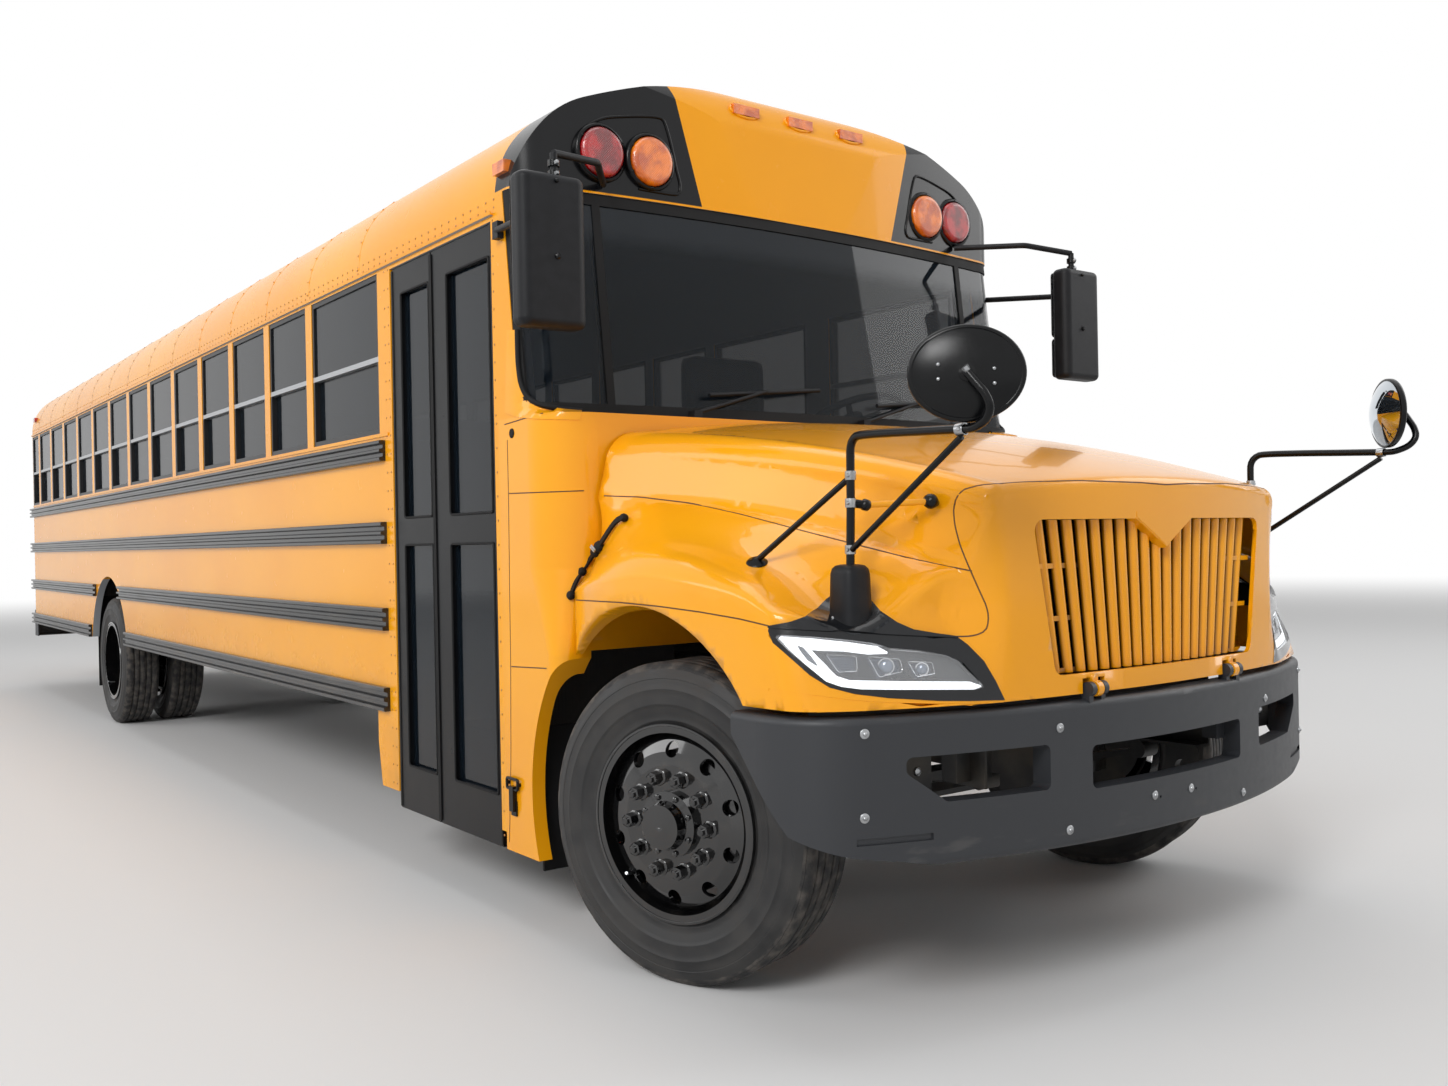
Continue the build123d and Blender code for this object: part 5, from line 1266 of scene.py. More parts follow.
def make_door_trim():
    """Rubbers round the door's glass and along its edge, hinges and grab rails."""
    for body, edge_x, hinge_x, (rear, front) in DOOR_LEAVES:
        rubbers = Shape()
        for low, high in PANES:
            for y in (-1214, -1174):
                corners = ((rear, low), (front, low), (front, high), (rear, high))
                loop = [at(x, y, z) for x, z in rounded(corners, 14)]
                rubbers.tube(loop, 0.005, 6, loop=True)
        rubbers.box(at(edge_x - 5, -1217, 262), at(edge_x + 5, -1177, 2465))
        rubbers.tube([at(hinge_x, -1213, 258), at(hinge_x, -1213, 2468)], 0.005, 8, number=1)
        rubbers.tube([at(rear + 30, -1166, 1390), at(front - 30, -1166, 1390)], 0.008, 10, number=1)
        rubbers.piece(f"{body}_trim", ["rubber", "dark_steel"], body, slot="black_rubber")


# Front: hood, lamps and crossover mirrors

# How much lower the fender's top is than the CAD node's, by distance along the bus
FENDER_DIP = ((-450, 0), (-150, 20), (250, 72), (500, 112), (700, 146), (1000, 146))
# How far the fender's front leans back for each step up, and the heights between which it leans
FENDER_LEAN = 0.365
LEAN_FOOT, LEAN_TOP = 893, 1130
# Arcs of the nose in plan, of the CAD node and of the fenders: their middle's place, and radius
CAD_NOSE = (1003, 4200)
FENDER_NOSE = (1041, 2500)
# Longest edge and number of rounds when the fenders' mesh is cut finer, and where they begin
FINE_EDGE, FINE_ROUNDS, FENDER_INNER = 0.045, 6, 0.62


def nose(middle, radius, y):
    """How far ahead of the axle an arc in plan is, at a distance from the centre line."""
    return middle - radius + math.sqrt(radius**2 - y**2)


def held(share):
    """A share kept between 0 and 1."""
    return min(max(share, 0), 1)


def eased(share):
    """A share from 0 to 1 with soft ends."""
    share = held(share)
    return share * share * (3 - 2 * share)


def reshape_hood(point):
    """Moves a point of the hood: the fenders' tops dip and their fronts lean back."""
    x, y, z = (point.x - AXLE_X) / MM, point.y / MM, point.z / MM
    side = math.copysign(1, y)
    y = abs(y)
    crease = 1050 - 0.218 * (x + 467)
    share = (y - crease) / (WALL - crease)
    if 0 < share < 1:
        dip = np.interp(x, *zip(*FENDER_DIP)) * math.sin(math.pi * share) ** 1.5
        z -= dip * held((z - 1000) / 220)
    flat = min(y, 1140)
    lean = FENDER_LEAN * (min(z, LEAN_TOP) - LEAN_FOOT)
    back = min(0, nose(*FENDER_NOSE, flat) - lean - nose(*CAD_NOSE, flat))
    x += back * eased((x - 440) / 450) * eased((y - 640) / 150) * eased((1480 - z) / 330)
    return at(x, side * y, z)


def near_lamp(face, side):
    """Whether a face of the hood is near one side's headlight."""
    place = face.calc_center_median()
    return place.x > AXLE_X + 0.2 and place.z < 1.3 and place.y * side > 0.5


def cut_lamp_openings(mesh):
    """Takes away what is left of the panel inside each headlight's bezel."""
    rays = [sight(u, v) for u, v in LAMP_OPENING]
    for side in (RIGHT, LEFT):
        flip = Vector((1, -side, 1))
        start = EYE * flip
        normals = [
            first.cross(second).normalized() * flip for first, second in zip(rays, rays[1:] + rays[:1])
        ]
        for normal in normals:
            faces = [face for face in mesh.faces if near_lamp(face, side)]
            edges = {edge for face in faces for edge in face.edges}
            verts = {vert for face in faces for vert in face.verts}
            bmesh.ops.bisect_plane(mesh, geom=[*verts, *edges, *faces], plane_co=start, plane_no=normal)
        inner = []
        for face in mesh.faces:
            place = face.calc_center_median()
            if near_lamp(face, side) and len({(place - start).dot(normal) > 0 for normal in normals}) == 1:
                inner.append(face)
        bmesh.ops.delete(mesh, geom=inner, context="FACES")


def reshaped(node, openings=False):
    """A finer copy of a CAD node's mesh with its fender fronts in their true place."""
    mesh = bmesh.new()
    mesh.from_mesh(frame["nodes"][node].data)
    bmesh.ops.remove_doubles(mesh, verts=mesh.verts, dist=1e-5)
    bmesh.ops.triangulate(mesh, faces=mesh.faces)
    for _ in range(FINE_ROUNDS):
        long = [
            edge for edge in mesh.edges
            if edge.calc_length() > FINE_EDGE and max(abs(v.co.y) for v in edge.verts) > FENDER_INNER
        ]
        if not long:
            break
        bmesh.ops.subdivide_edges(mesh, edges=long, cuts=1)
        bmesh.ops.triangulate(mesh, faces=mesh.faces)
    for vert in mesh.verts:
        vert.co = reshape_hood(vert.co)
    if openings:
        cut_lamp_openings(mesh)
    result = bpy.data.meshes.new(node + "_shaped")
    mesh.to_mesh(result)
    mesh.free()
    return result


# Headlight outlines in the photograph's points, each from the rear tip over the top: the
# bezel's outer edge, the opening cut in the panel, and the bezel's inner edge
LAMP_OUTER = (
    (768.6, 631.0), (769.4, 627.0), (803.0, 629.6), (838.0, 631.8), (876.0, 633.8), (914.0, 635.6),
    (956.5, 637.0), (967.5, 644.8), (984.0, 661.2), (995.6, 681.0), (1004.4, 700.0), (970.0, 701.2),
    (937.0, 701.0), (888.0, 698.2), (854.5, 694.2), (829.6, 687.8), (809.7, 675.4), (788.2, 656.4),
    (773.2, 643.0),
)
LAMP_OPENING = (
    (772, 633), (850, 636.5), (915, 641.5), (952, 645.5), (968, 655), (992, 691), (991, 695), (930, 695.5),
    (875, 693.5), (835, 687.5), (800, 664), (776, 642),
)
LAMP_INNER = (
    (775.6, 638.0), (777.0, 635.0), (805.0, 636.4), (830.0, 638.4), (852.0, 640.6), (872.0, 643.2),
    (888.0, 647.6), (918.0, 650.4), (946.0, 654.4), (962.0, 661.8), (984.0, 686.8), (976.0, 689.8),
    (936.0, 690.0), (892.0, 690.0), (861.0, 689.6), (841.0, 687.0), (826.0, 681.6), (809.0, 667.8),
    (788.0, 649.8),
)
# The white light guide: its two edges, and the dark wedge behind its rear end
LIGHT_OUTER = (
    (889.0, 651.0), (878.5, 645.2), (848.0, 641.0), (813.0, 637.6), (780.0, 635.8), (777.2, 638.6),
    (788.6, 649.6), (810.0, 667.4), (828.2, 682.2), (841.4, 686.2), (861.0, 688.8), (904.0, 689.2),
    (975.4, 688.8), (983.0, 686.4),
)
LIGHT_INNER = (
    (888.6, 652.6), (869.4, 653.4), (845.0, 650.4), (821.0, 649.8), (812.0, 649.0), (812.4, 650.4),
    (817.6, 656.0), (826.0, 664.0), (832.6, 670.8), (838.0, 675.6), (851.0, 679.4), (904.0, 680.4),
    (971.0, 680.8), (981.6, 684.6),
)
LIGHT_WEDGE = (
    ((797.3, 644.6), (803.5, 647.0), (811.0, 655.5), (817.4, 664.0)),
    ((797.6, 645.6), (800.5, 650.5), (807.5, 659.5), (816.6, 665.4)),
)
# The three cells, the lenses in two of them with their radius, and the line above them
CELLS = (
    ((826.3, 654.8), (856.2, 656.2), (857.2, 671.2), (837.9, 672.2)),
    ((868.0, 656.6), (900.0, 659.0), (903.0, 671.5), (879.0, 677.2)),
    ((908.0, 661.6), (932.4, 662.2), (935.0, 673.6), (917.0, 676.8)),
)
CELL_EYES = ((886.0, 666.5, 0.019), (922.0, 669.0, 0.015))
INNER_EDGE = (
    (889.3, 649.6), (918.0, 651.8), (945.7, 655.0), (960.6, 661.6), (972.0, 672.5), (982.4, 685.0),
)
# The black plate above the headlight: top, foot, and its two screws
WING_TOP = (
    (769.1, 626.0), (788.2, 622.8), (803.1, 618.6), (816.4, 611.2), (826.3, 601.2), (833.0, 596.0),
    (850.0, 594.0), (867.0, 596.0), (872.7, 603.1), (881.0, 613.0), (896.0, 623.0), (912.5, 630.2),
    (937.4, 634.4), (957.0, 636.6),
)
WING_FOOT = (
    (769.4, 628.0), (790.0, 629.6), (805.0, 630.4), (818.0, 631.2), (828.0, 631.8), (838.0, 632.4),
    (850.0, 633.0), (866.0, 633.9), (876.0, 634.5), (886.0, 635.0), (899.0, 635.6), (915.0, 636.4),
    (938.0, 637.4), (957.4, 638.2),
)
WING_SCREWS = ((832.9, 620.8), (863.6, 623.0))
# The yellow panel below and behind the headlight: top, foot, and the part at its rear end
SURROUND_TOP = (
    (767.4, 634.0), (773.2, 642.0), (788.2, 655.4), (809.7, 674.4), (829.6, 686.8), (854.5, 693.4),
    (888.0, 697.6), (937.0, 700.4), (1003.0, 700.6),
)
SURROUND_FOOT = (
    (764.0, 687.0), (774.0, 689.0), (789.0, 691.6), (810.0, 694.6), (830.0, 697.4), (855.0, 700.4),
    (889.0, 702.6), (938.0, 703.8), (1004.0, 702.6),
)
SURROUND_REAR = (((752, 627), (769, 630.5)), ((752, 687), (769, 691)))


def make_headlights(hood):
    """Bezels, light guides, projector cells, clear covers and the panels round them."""
    half = len(LAMP_INNER) // 2
    top = LAMP_INNER[1:half + 2]
    foot = [LAMP_INNER[0], *reversed(LAMP_INNER[half + 2:])]
    dark = Shape()
    hood.border(dark, LAMP_OUTER, LAMP_INNER, 0.003, 0.026)
    hood.sheet(dark, top, foot, -0.020, 0.024)
    hood.sheet(dark, WING_TOP, WING_FOOT, 0.009, 0.012, across=10, cuts=6)
    for u, v in WING_SCREWS:
        place, normal = hood.behind(u, v)
        add_head(dark, place + normal * 0.009, normal, 0.006, 2, 12, 0.7)
    hood.sheet(dark, *LIGHT_WEDGE, -0.009, 0.012, across=2, number=1)
    dark.mirror()
    dark.piece("headlight_bezels", ["lamp_black", "lamp_grey", "steel"], "hood", smooth=40,
               replaces=["headlights"], slot="black_plastic")
    light = Shape()
    hood.sheet(light, LIGHT_OUTER, LIGHT_INNER, -0.010, 0.013, across=3)
    light.mirror()
    light.piece("light_guides", ["lit_strip"], "hood", smooth=60, slot="lamp_lens")
    make_cells(hood)
    cover = Shape()
    hood.sheet(cover, top, foot, 0.001, 0.001, across=6)
    cover.mirror()
    cover.piece("headlight_covers", ["lamp_cover"], "hood", smooth=60, slot="lamp_lens")
    surround = Shape()
    hood.sheet(surround, SURROUND_TOP, SURROUND_FOOT, 0.0012, 0.008, across=6, cuts=4)
    hood.sheet(surround, *SURROUND_REAR, 0.0012, 0.02, across=6, cuts=1)
    surround.mirror()
    surround.piece("headlight_surrounds", ["hood_paint"], "hood", smooth=60, slot="yellow_paint")


def make_cells(hood):
    """The headlight's three cells with bright rims, and the lenses in two of them."""
    cells = Shape()
    inward = sight(880, 660) * 0.014
    for corners in CELLS:
        a, b, c, d = corners
        hood.sheet(cells, (a, b), (d, c), -0.0175, 0.022, cuts=6)
        rim = [place + inward for place in resample(hood.seen([*corners, a]), 25)][:-1]
        cells.tube(rim, 0.0011, 6, number=1, loop=True)
    for u, v, radius in CELL_EYES:
        place, _ = hood.behind(u, v)
        out = -sight(u, v)
        dome = [
            (radius * math.cos(turn), radius * 0.55 * math.sin(turn) - 0.017)
            for turn in np.linspace(0, math.pi / 2, 7)
        ]
        cells.turned(dome, place, out, 24, number=2)
        ring = ((radius + 0.003, -0.018), (radius + 0.003, -0.013), (radius, -0.013))
        cells.turned(ring, place, out, 24, number=1, ends=False)
    edge = [place + inward * 0.6 for place in resample(hood.seen(INNER_EDGE), 30)]
    cells.tube(edge, 0.0012, 6, number=1)
    cells.mirror()
    cells.piece("headlight_cells", ["lamp_bowl", "chrome", "lamp_eye"], "hood", smooth=50, slot="lamp_lens")


# Crossover mirror, on the right: pedestal's middle, and its heights with half widths
PEDESTAL = (701, 985)
PEDESTAL_SIZES = (
    (1062, 49), (1128, 49), (1160, 48), (1236, 45.5), (1250, 42), (1258, 34), (1261, 22),
)
# How square the pedestal's outline is: 2 is round
PEDESTAL_SQUARE = 3.4
# The tube from the pedestal to the elbow, and the neck from there to the dish
MIRROR_TUBE = (
    (701, 984, 1235), (702, 979, 1420), (702, 977, 1540), (705, 978, 1572), (720, 981, 1592),
    (748, 985, 1600), (860, 996, 1597), (1000, 1011, 1590), (1120, 1024, 1584), (1150, 1028, 1582),
)
MIRROR_NECK = (
    (1150, 1028, 1582), (1185, 1030, 1584), (1225, 1036, 1600), (1243, 1044, 1626), (1236, 1052, 1656),
    (1215, 1062, 1686), (1200, 1068, 1706),
)
# Heights of the three clamps on the upright tube, and the elbow
TUBE_CLAMPS = (1497, 1424, 1300)
ELBOW = (1140, 1027, 1582)
# The dish: middle, its back and its glass as radius and height, and how flat its circle is
DISH_CENTRE = (1166, 1034, 1711)
DISH_BACK = (
    (0.0, -24.0), (50, -21.5), (90, -15.5), (118, -7.5), (126, -4.5), (128, -6.0), (134, -5.0), (138, -1),
    (138.6, 6), (138, 13), (134, 15.5), (129, 15),
)
DISH_FACE = ((130, 14), (122, 19), (105, 27.5), (80, 37.5), (50, 46), (22, 51.2), (0.0, 52.5))
DISH_FLATNESS = 0.83
# Screws on the dish's back: along it and up, in metres from its middle
DISH_SCREWS = ((-0.066, 0.020), (-0.066, -0.014), (0.062, 0.006), (0.062, -0.028))
# Turned parts, as pairs of radius and height
DISH_BOSS = ((0.020, 0.0), (0.020, 0.006), (0.012, 0.012), (0.012, 0.024), (0.0, 0.026))
DISH_NUT = ((0.009, 0.0), (0.009, 0.012), (0.0, 0.013))
STAY_FOOT = (
    (0.030, -0.004), (0.031, 0.003), (0.026, 0.008), (0.015, 0.011), (0.010, 0.017), (0.0, 0.018),
)
KNOB = (
    (0.010, -0.004), (0.010, 0.012), (0.017, 0.018), (0.021, 0.030), (0.019, 0.042), (0.010, 0.049),
    (0.0, 0.050),
)
BALL = ((0.0, -0.017), (0.012, -0.012), (0.017, 0.0), (0.012, 0.012), (0.0, 0.017))
CLAMP = (
    (0.0125, -0.012), (0.0148, -0.012), (0.0152, -0.006), (0.0152, 0.006), (0.0148, 0.012),
    (0.0125, 0.012),
)
CLAMP_BOLT = ((0.006, 0.0), (0.006, 0.017), (0.004, 0.020), (0.0, 0.020))


def on_right(x, y, z):
    """A point on the right-hand side, with its distance from the centre line above 0."""
    return at(x, -y, z)


def tube_point(z):
    """Where the crossover mirror's upright tube is at a height, on the right."""
    xs, ys, zs = zip(*MIRROR_TUBE[:3])
    return on_right(np.interp(z, zs, xs), np.interp(z, zs, ys), z)


def make_pedestals():
    """The moulded feet of the crossover mirrors on the fenders."""
    body = Shape()
    x, y = PEDESTAL
    rings = []
    for z, size in PEDESTAL_SIZES:
        ring = []
        for step in range(40):
            turn = 2 * math.pi * step / 40
            u, v = math.cos(turn), math.sin(turn)
            round_sum = abs(u) ** PEDESTAL_SQUARE + abs(v) ** PEDESTAL_SQUARE
            reach = size / round_sum ** (1 / PEDESTAL_SQUARE)
            ring.append(at(x + reach * u, -y + reach * v, z))
        rings.append(ring)
    body.rings(rings)
    body.mirror()
    body.piece("mirror_pedestals", ["moulded_black"], "hood", smooth=50, slot="black_plastic")


def add_dish(shape):
    """The oval crossover mirror, with the screws and the boss on its back."""
    place = on_right(*DISH_CENTRE)
    facing = Vector((-1, 1, 0)).normalized()
    first_point = len(shape.points)
    shape.turned([(r * MM, h * MM) for r, h in DISH_BACK], place, facing, 72, ends=False)
    shape.turned([(r * MM, h * MM) for r, h in DISH_FACE], place, facing, 72, number=2, ends=False)
    for index in range(first_point, len(shape.points)):
        x, y, z = shape.points[index]
        shape.points[index] = (x, y, place.z + (z - place.z) * DISH_FLATNESS)
    for across, up in DISH_SCREWS:
        spot = place + Vector((0.7071, 0.7071, 0)) * across + Vector((0, 0, up)) - facing * 0.0205
        add_head(shape, spot, -facing, 0.005, 1, 10, 0.8)
    shape.turned(DISH_BOSS, place - facing * 0.022 + Vector((0, 0, -0.002)), -facing, 20)
    shape.turned(DISH_NUT, place - facing * 0.044, Vector((-0.3, -0.6, 0.9)), 6, number=1)


def make_arms(hood):
    """Tubes, stays, clamps, knobs and dishes of the crossover mirrors."""
    arms = Shape()
    arms.tube(smooth_line([on_right(*point) for point in MIRROR_TUBE], 60), 0.0115, 14)
    arms.tube(smooth_line([on_right(*point) for point in MIRROR_NECK], 40), 0.0105, 14)
    high, middle, low = (tube_point(z) for z in TUBE_CLAMPS)
    elbow = on_right(*ELBOW)
    arms.tube([low + Vector((0.012, -0.004, 0)), elbow + Vector((0, 0, -0.018))], 0.0085, 12)
    foot, foot_normal = hood.behind(757, 563)
    arms.tube([high + Vector((-0.012, 0, -0.01)), foot + foot_normal * 0.008], 0.0085, 12)
    arms.turned(STAY_FOOT, foot, foot_normal, 28)
    knob, knob_normal = hood.behind(936, 503)
    arms.turned(KNOB, knob, knob_normal, 24)
    ball = middle + Vector((0.02, 0.035, -0.006))
    arms.tube([middle, ball], 0.012, 12)
    arms.turned(BALL, ball, (0, 1, 0.2), 20)
    add_dish(arms)
    upright = (0, 0, 1)
    for spot, along in ((high, upright), (middle, upright), (low, upright), (elbow, (1, 0.08, 0.02))):
        arms.turned(CLAMP, spot, along, 20, number=1, ends=False)
        arms.turned(CLAMP_BOLT, spot, (0.3, -1, 0), 6, number=1)
    arms.tube([ball, knob + knob_normal * 0.030], 0.009, 10, number=3)
    arms.mirror()
    arms.piece("crossover_arms", ["gloss_black", "steel", "mirror_glass", "hood_paint"], "hood", smooth=50,
               replaces=["crossover_mirrors"], slot="black_paint")


# Moulded lines of the hood and fascia, and the catch strap, in the photograph's points
HOOD_LINES = (
    (
        (604, 495.8), (640, 497), (690, 503), (740, 514), (800, 530), (850, 543), (905, 557),
        (944, 565.5), (972, 571.0),
    ),
    (
        (1166, 484.6), (1140, 482.5), (1080, 480.5), (1020, 482), (980, 485), (962, 490), (955, 500),
        (953.5, 512), (955, 526), (960, 545), (966, 560), (972, 574), (980, 592), (986.5, 606),
        (989, 618), (987, 628), (981, 634), (970.6, 636.2), (957, 636.6),
    ),
    ((769, 626), (740, 619), (700, 612), (660, 606.5), (620, 602.5), (576, 600)),
)
STRAP = (
    (627, 519.5), (621, 521.5), (614, 529.5), (604, 545), (592, 563), (580, 582), (573, 600),
)
# Section of the strap, and its knobs: which of its points they are at, and their radius
STRAP_SECTION = ((-0.009, -0.004), (0.009, -0.004), (0.009, 0.004), (-0.009, 0.004))
STRAP_KNOBS = ((0, 0.014), (14, 0.020), (17, 0.020), (26, 0.015), (34, 0.016))
# The point of the fascia over the grille: half its width, top, middle of its foot, and rise
POINT_HALF, POINT_TOP, POINT_FOOT, POINT_RISE = 142, 1392, 1284, 88
# The radiator's screen behind the grille: place of its middle, how much it bows, and half width
SCREEN_X, SCREEN_BOW, SCREEN_HALF = 900, 40, 545
SCREEN_SECTION = ((0, 925), (0, 1392), (5, 1392), (5, 925))


def make_hood_shell(mesh):
    """The hood's outer shell, from a mesh that is shaped already."""
    shell = bpy.data.objects.new("hood_shell", mesh)
    bpy.context.scene.collection.objects.link(shell)
    mesh.materials.clear()
    mesh.materials.append(FINISHES["hood_paint"])
    mesh.shade_smooth()
    mesh.set_sharp_from_angle(angle=math.radians(38))
    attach(shell, "hood")
    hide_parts("hood")


def make_seams(skin, lines, name, body, outward, counts, width):
    """Dark gaps along lines of the photograph's points, on both sides of the bus."""
    seams = Shape()
    for line in lines:
        points = resample(skin.seen(resample(line, counts[0])), counts[1])
        skin.strip(seams, points, outward, width, 0.0006)
    seams.mirror()
    seams.piece(name, ["seam_shadow"], body, slot="yellow_paint")


def make_straps(around):
    """The rubber catches between hood and cowl, with their knobs and wire loops."""
    strap = Shape()
    points = smooth_line([place + Vector((0, -0.012, 0.006)) for place in around.seen(STRAP)], 36)
    for before, after in zip(points, points[1:]):
        along = (after - before).normalized()
        across = along.cross(Vector((0, -1, 0.3))).normalized()
        up = across.cross(along)
        ends = (before - along * 0.001, after + along * 0.001)
        strap.rings([[end + across * a + up * b for a, b in STRAP_SECTION] for end in ends])
    for index, radius in STRAP_KNOBS:
        knob = (
            (0, -0.012), (radius * 0.8, -0.010), (radius, -0.003), (radius, 0.004), (radius * 0.7, 0.011),
            (0, 0.012),
        )
        strap.turned(knob, points[index], (0.1, -1, 0.25), 18)
    for point in points[15:17]:
        wire = [point + Vector((-0.012, -0.016, 0.010)), point + Vector((0.012, -0.016, -0.006))]
        strap.tube(wire, 0.003, 8, number=1)
    strap.mirror()
    strap.piece("hood_straps", ["rubber", "steel"], "hood", smooth=50, slot="black_rubber")


def make_fascia():
    """The point of the fascia that hangs over the grille, and the screen behind the grille."""
    point = Shape()
    columns = []
    for y in np.linspace(-POINT_HALF, POINT_HALF, 25):
        face = nose(*CAD_NOSE, y)
        foot = POINT_FOOT + POINT_RISE * (abs(y) / POINT_HALF) ** 0.92
        section = (
            (face + 1, POINT_TOP), (face + 1, foot + 5), (face - 4, foot), (face - 36, foot),
            (face - 36, POINT_TOP),
        )
        columns.append([at(x, y, z) for x, z in section])
    point.rings(columns)
    point.piece("fascia_point", ["hood_paint"], "hood", smooth=40, slot="yellow_paint")
    screen = Shape()
    screen.rings([
        [at(SCREEN_X - share**2 * SCREEN_BOW + depth, share * SCREEN_HALF, z) for depth, z in SCREEN_SECTION]
        for share in np.linspace(-1, 1, 15)
    ])
    screen.piece("grille_screen", ["radiator_fins"], "hood", slot="black_plastic")


def make_front_trim(sizes):
    """The hood with its lamps, crossover mirrors, gaps, catches and fascia."""
    whole = reshaped("hood")
    make_hood_shell(reshaped("hood", openings=True))
    hood = Skin(whole, reshaped("headlights"))
    make_headlights(hood)
    make_pedestals()
    make_arms(hood)
    make_seams(hood, HOOD_LINES, "hood_seams", "hood", (1, -1, 1), (60, 90), sizes.seam_width)
    make_straps(Skin(whole, "cowl", "side_wall_right"))
    make_fascia()


# Windshield corners and bumper

# Lower corner of the windshield: the gasket's line, and the panel outside it
CORNER_LINE = (
    (517.6, 330), (518.0, 350), (519.0, 368), (521.6, 384), (527.6, 396.5), (537, 403.2), (549, 407),
    (565, 409.4), (582, 411),
)
CORNER_OUTSIDE = (
    (508, 330), (507.5, 350), (507, 368), (506.5, 388), (506, 413), (520, 418), (536, 419),
    (556, 419.5), (580, 420),
)
# Gaps between the cowl's panels, and the plug beside the windshield
COWL_LINES = (
    ((509, 493.5), (584, 490.7)),
    ((504.5, 424.6), (524, 418.6), (543, 413.2)),
    ((511.5, 666.6), (546.5, 668.4)),
    ((507.4, 440), (508.6, 500), (509.8, 600), (510.8, 667), (511, 760), (509.6, 842)),
)
PLUG_POINT = (511.9, 433.3)
PLUG = ((0.017, -0.002), (0.017, 0.002), (0.012, 0.005), (0.006, 0.003), (0, 0.003))
# The latch below the cowl: its middle, half its frame's size, and its two flat parts from there
LATCH_X, LATCH_Z = -782, 496
LATCH_HALF = (40, 18)
LATCH_PLATES = (((-15, -1236, -96), (15, -1219, -8)), ((-19, -1226, -112), (19, -1218, -60)))


def body_of(node):
    """The name of the body that a CAD node rides on."""
    return frame["nodes"][node].parent.name.removeprefix("body:")


def make_windshield_corners(sizes):
    """Rounds the lower corners of the windshield and lays their gasket and the cowl's trim."""
    around = Skin("windshield_frame", "cowl", "side_wall_right", "window_glass")
    cowl = body_of("cowl")
    panel = Shape()
    around.sheet(panel, CORNER_OUTSIDE, CORNER_LINE, 0.004, 0.004, across=3, cuts=4)
    panel.mirror()
    panel.piece("windshield_corners", ["hood_paint"], cowl, smooth=60, slot="yellow_paint")
    make_seams(around, COWL_LINES, "cowl_seams", cowl, (1, -1, 0), (24, 30), sizes.seam_width)
    plug = Shape()
    place, normal = around.behind(*PLUG_POINT)
    plug.turned(PLUG, place, normal, 24)
    plug.mirror()
    plug.piece("cowl_plugs", ["rubber"], cowl, smooth=60, slot="black_rubber")
    latch = Shape()
    x, z = LATCH_X, LATCH_Z
    wide, tall = LATCH_HALF
    corners = ((x - wide, z - tall), (x + wide, z - tall), (x + wide, z + tall), (x - wide, z + tall))
    latch.tube([at(a, -1229, b) for a, b in rounded(corners, 9)], 0.0055, 8, loop=True)
    for low, high in LATCH_PLATES:
        latch.box(at(x + low[0], low[1], z + low[2]), at(x + high[0], high[1], z + high[2]))
    for a in (x - wide, x + wide):
        latch.tube([at(a, -1217, z), at(a, -1231, z)], 0.007, 10)
    latch.piece("step_latch", ["gloss_black"], cowl, bevel=0.003, smooth=50, slot="black_plastic")
    gasket = Shape()
    line = smooth_line([place + Vector((0.003, -0.003, 0)) for place in around.seen(CORNER_LINE)], 50)
    gasket.tube(line, 0.0095, 10)
    gasket.mirror()
    gasket.piece("windshield_gaskets", ["rubber"], cowl, smooth=60, slot="black_rubber")


# Bolts on the bumper's face, and a washer as pairs of radius and height
BUMPER_BOLTS = (
    (837, -1063, 831), (985, -486, 804), (835, -1067, 616), (990, -458, 523), (1025, -116, 576),
    (1027, 62, 573), (1001, 384, 513), (967, 582, 786), (837, 1063, 831), (835, 1067, 616),
)
BOLT_WASHER = ((0.013, -0.001), (0.013, 0.002), (0.010, 0.004), (0.0, 0.005))
# Brackets behind the bumper's openings, on one side, and their bolts
BRACKETS = (
    ((800, 560, 655), (806, 700, 752)),
    ((790, 790, 648), (796, 900, 756)),
    ((700, 640, 640), (860, 648, 760)),
)
BRACKET_BOLTS = ((806, 600, 705), (796, 845, 705))


def make_bumper_trim():
    """Bolt heads on the bumper and the brackets behind its openings."""
    bumper = Skin("front_bumper")
    trim = Shape()
    for x, y, z in BUMPER_BOLTS:
        place, normal = bumper.nearest(at(x, y, z), Vector((1, 0.7 * math.copysign(1, y), 0)))
        trim.turned(BOLT_WASHER, place, normal, 20)
        add_head(trim, place + normal * 0.003, normal, 0.007, 0, 6, 0.8)
    for side in (RIGHT, LEFT):
        for low, high in BRACKETS:
            trim.box(at(low[0], side * low[1], low[2]), at(high[0], side * high[1], high[2]), number=1)
        for x, y, z in BRACKET_BOLTS:
            add_head(trim, at(x, side * y, z), FORWARD, 0.014, 0, 6, 0.6)
    trim.piece("bumper_trim", ["steel", "chassis_black"], body_of("front_bumper"), smooth=40,
               slot="cast_metal")


# Front cap and rear lamps

# Outline of the lamps' pocket in the front cap: sideways and upward
CAP_POCKET = (
    (996, 2715), (988, 2760), (964, 2796), (895, 2838), (800, 2860), (713, 2874), (665, 2876),
    (647, 2864), (624, 2798), (600, 2700), (585, 2644), (588, 2615), (611, 2604), (700, 2604), (758, 2606),
)
# Lamps: sideways and upward, and how far from the middle their plate is met beside the lens
CAP_LAMPS = ((908, 2713), (710, 2708))
CAP_LAMP_REACH = 93
CAP_RING = (
    (0.090, -0.030), (0.106, -0.030), (0.106, 0.002), (0.101, 0.009), (0.094, 0.010), (0.090, 0.005),
)
REAR_LAMPS = ((908, 2650), (710, 2650), (980, 1600), (980, 1390))
REAR_LAMP_REACH = 105
REAR_RING = ((0.090, 0.0), (0.105, 0.0), (0.105, 0.010), (0.098, 0.016), (0.090, 0.014))
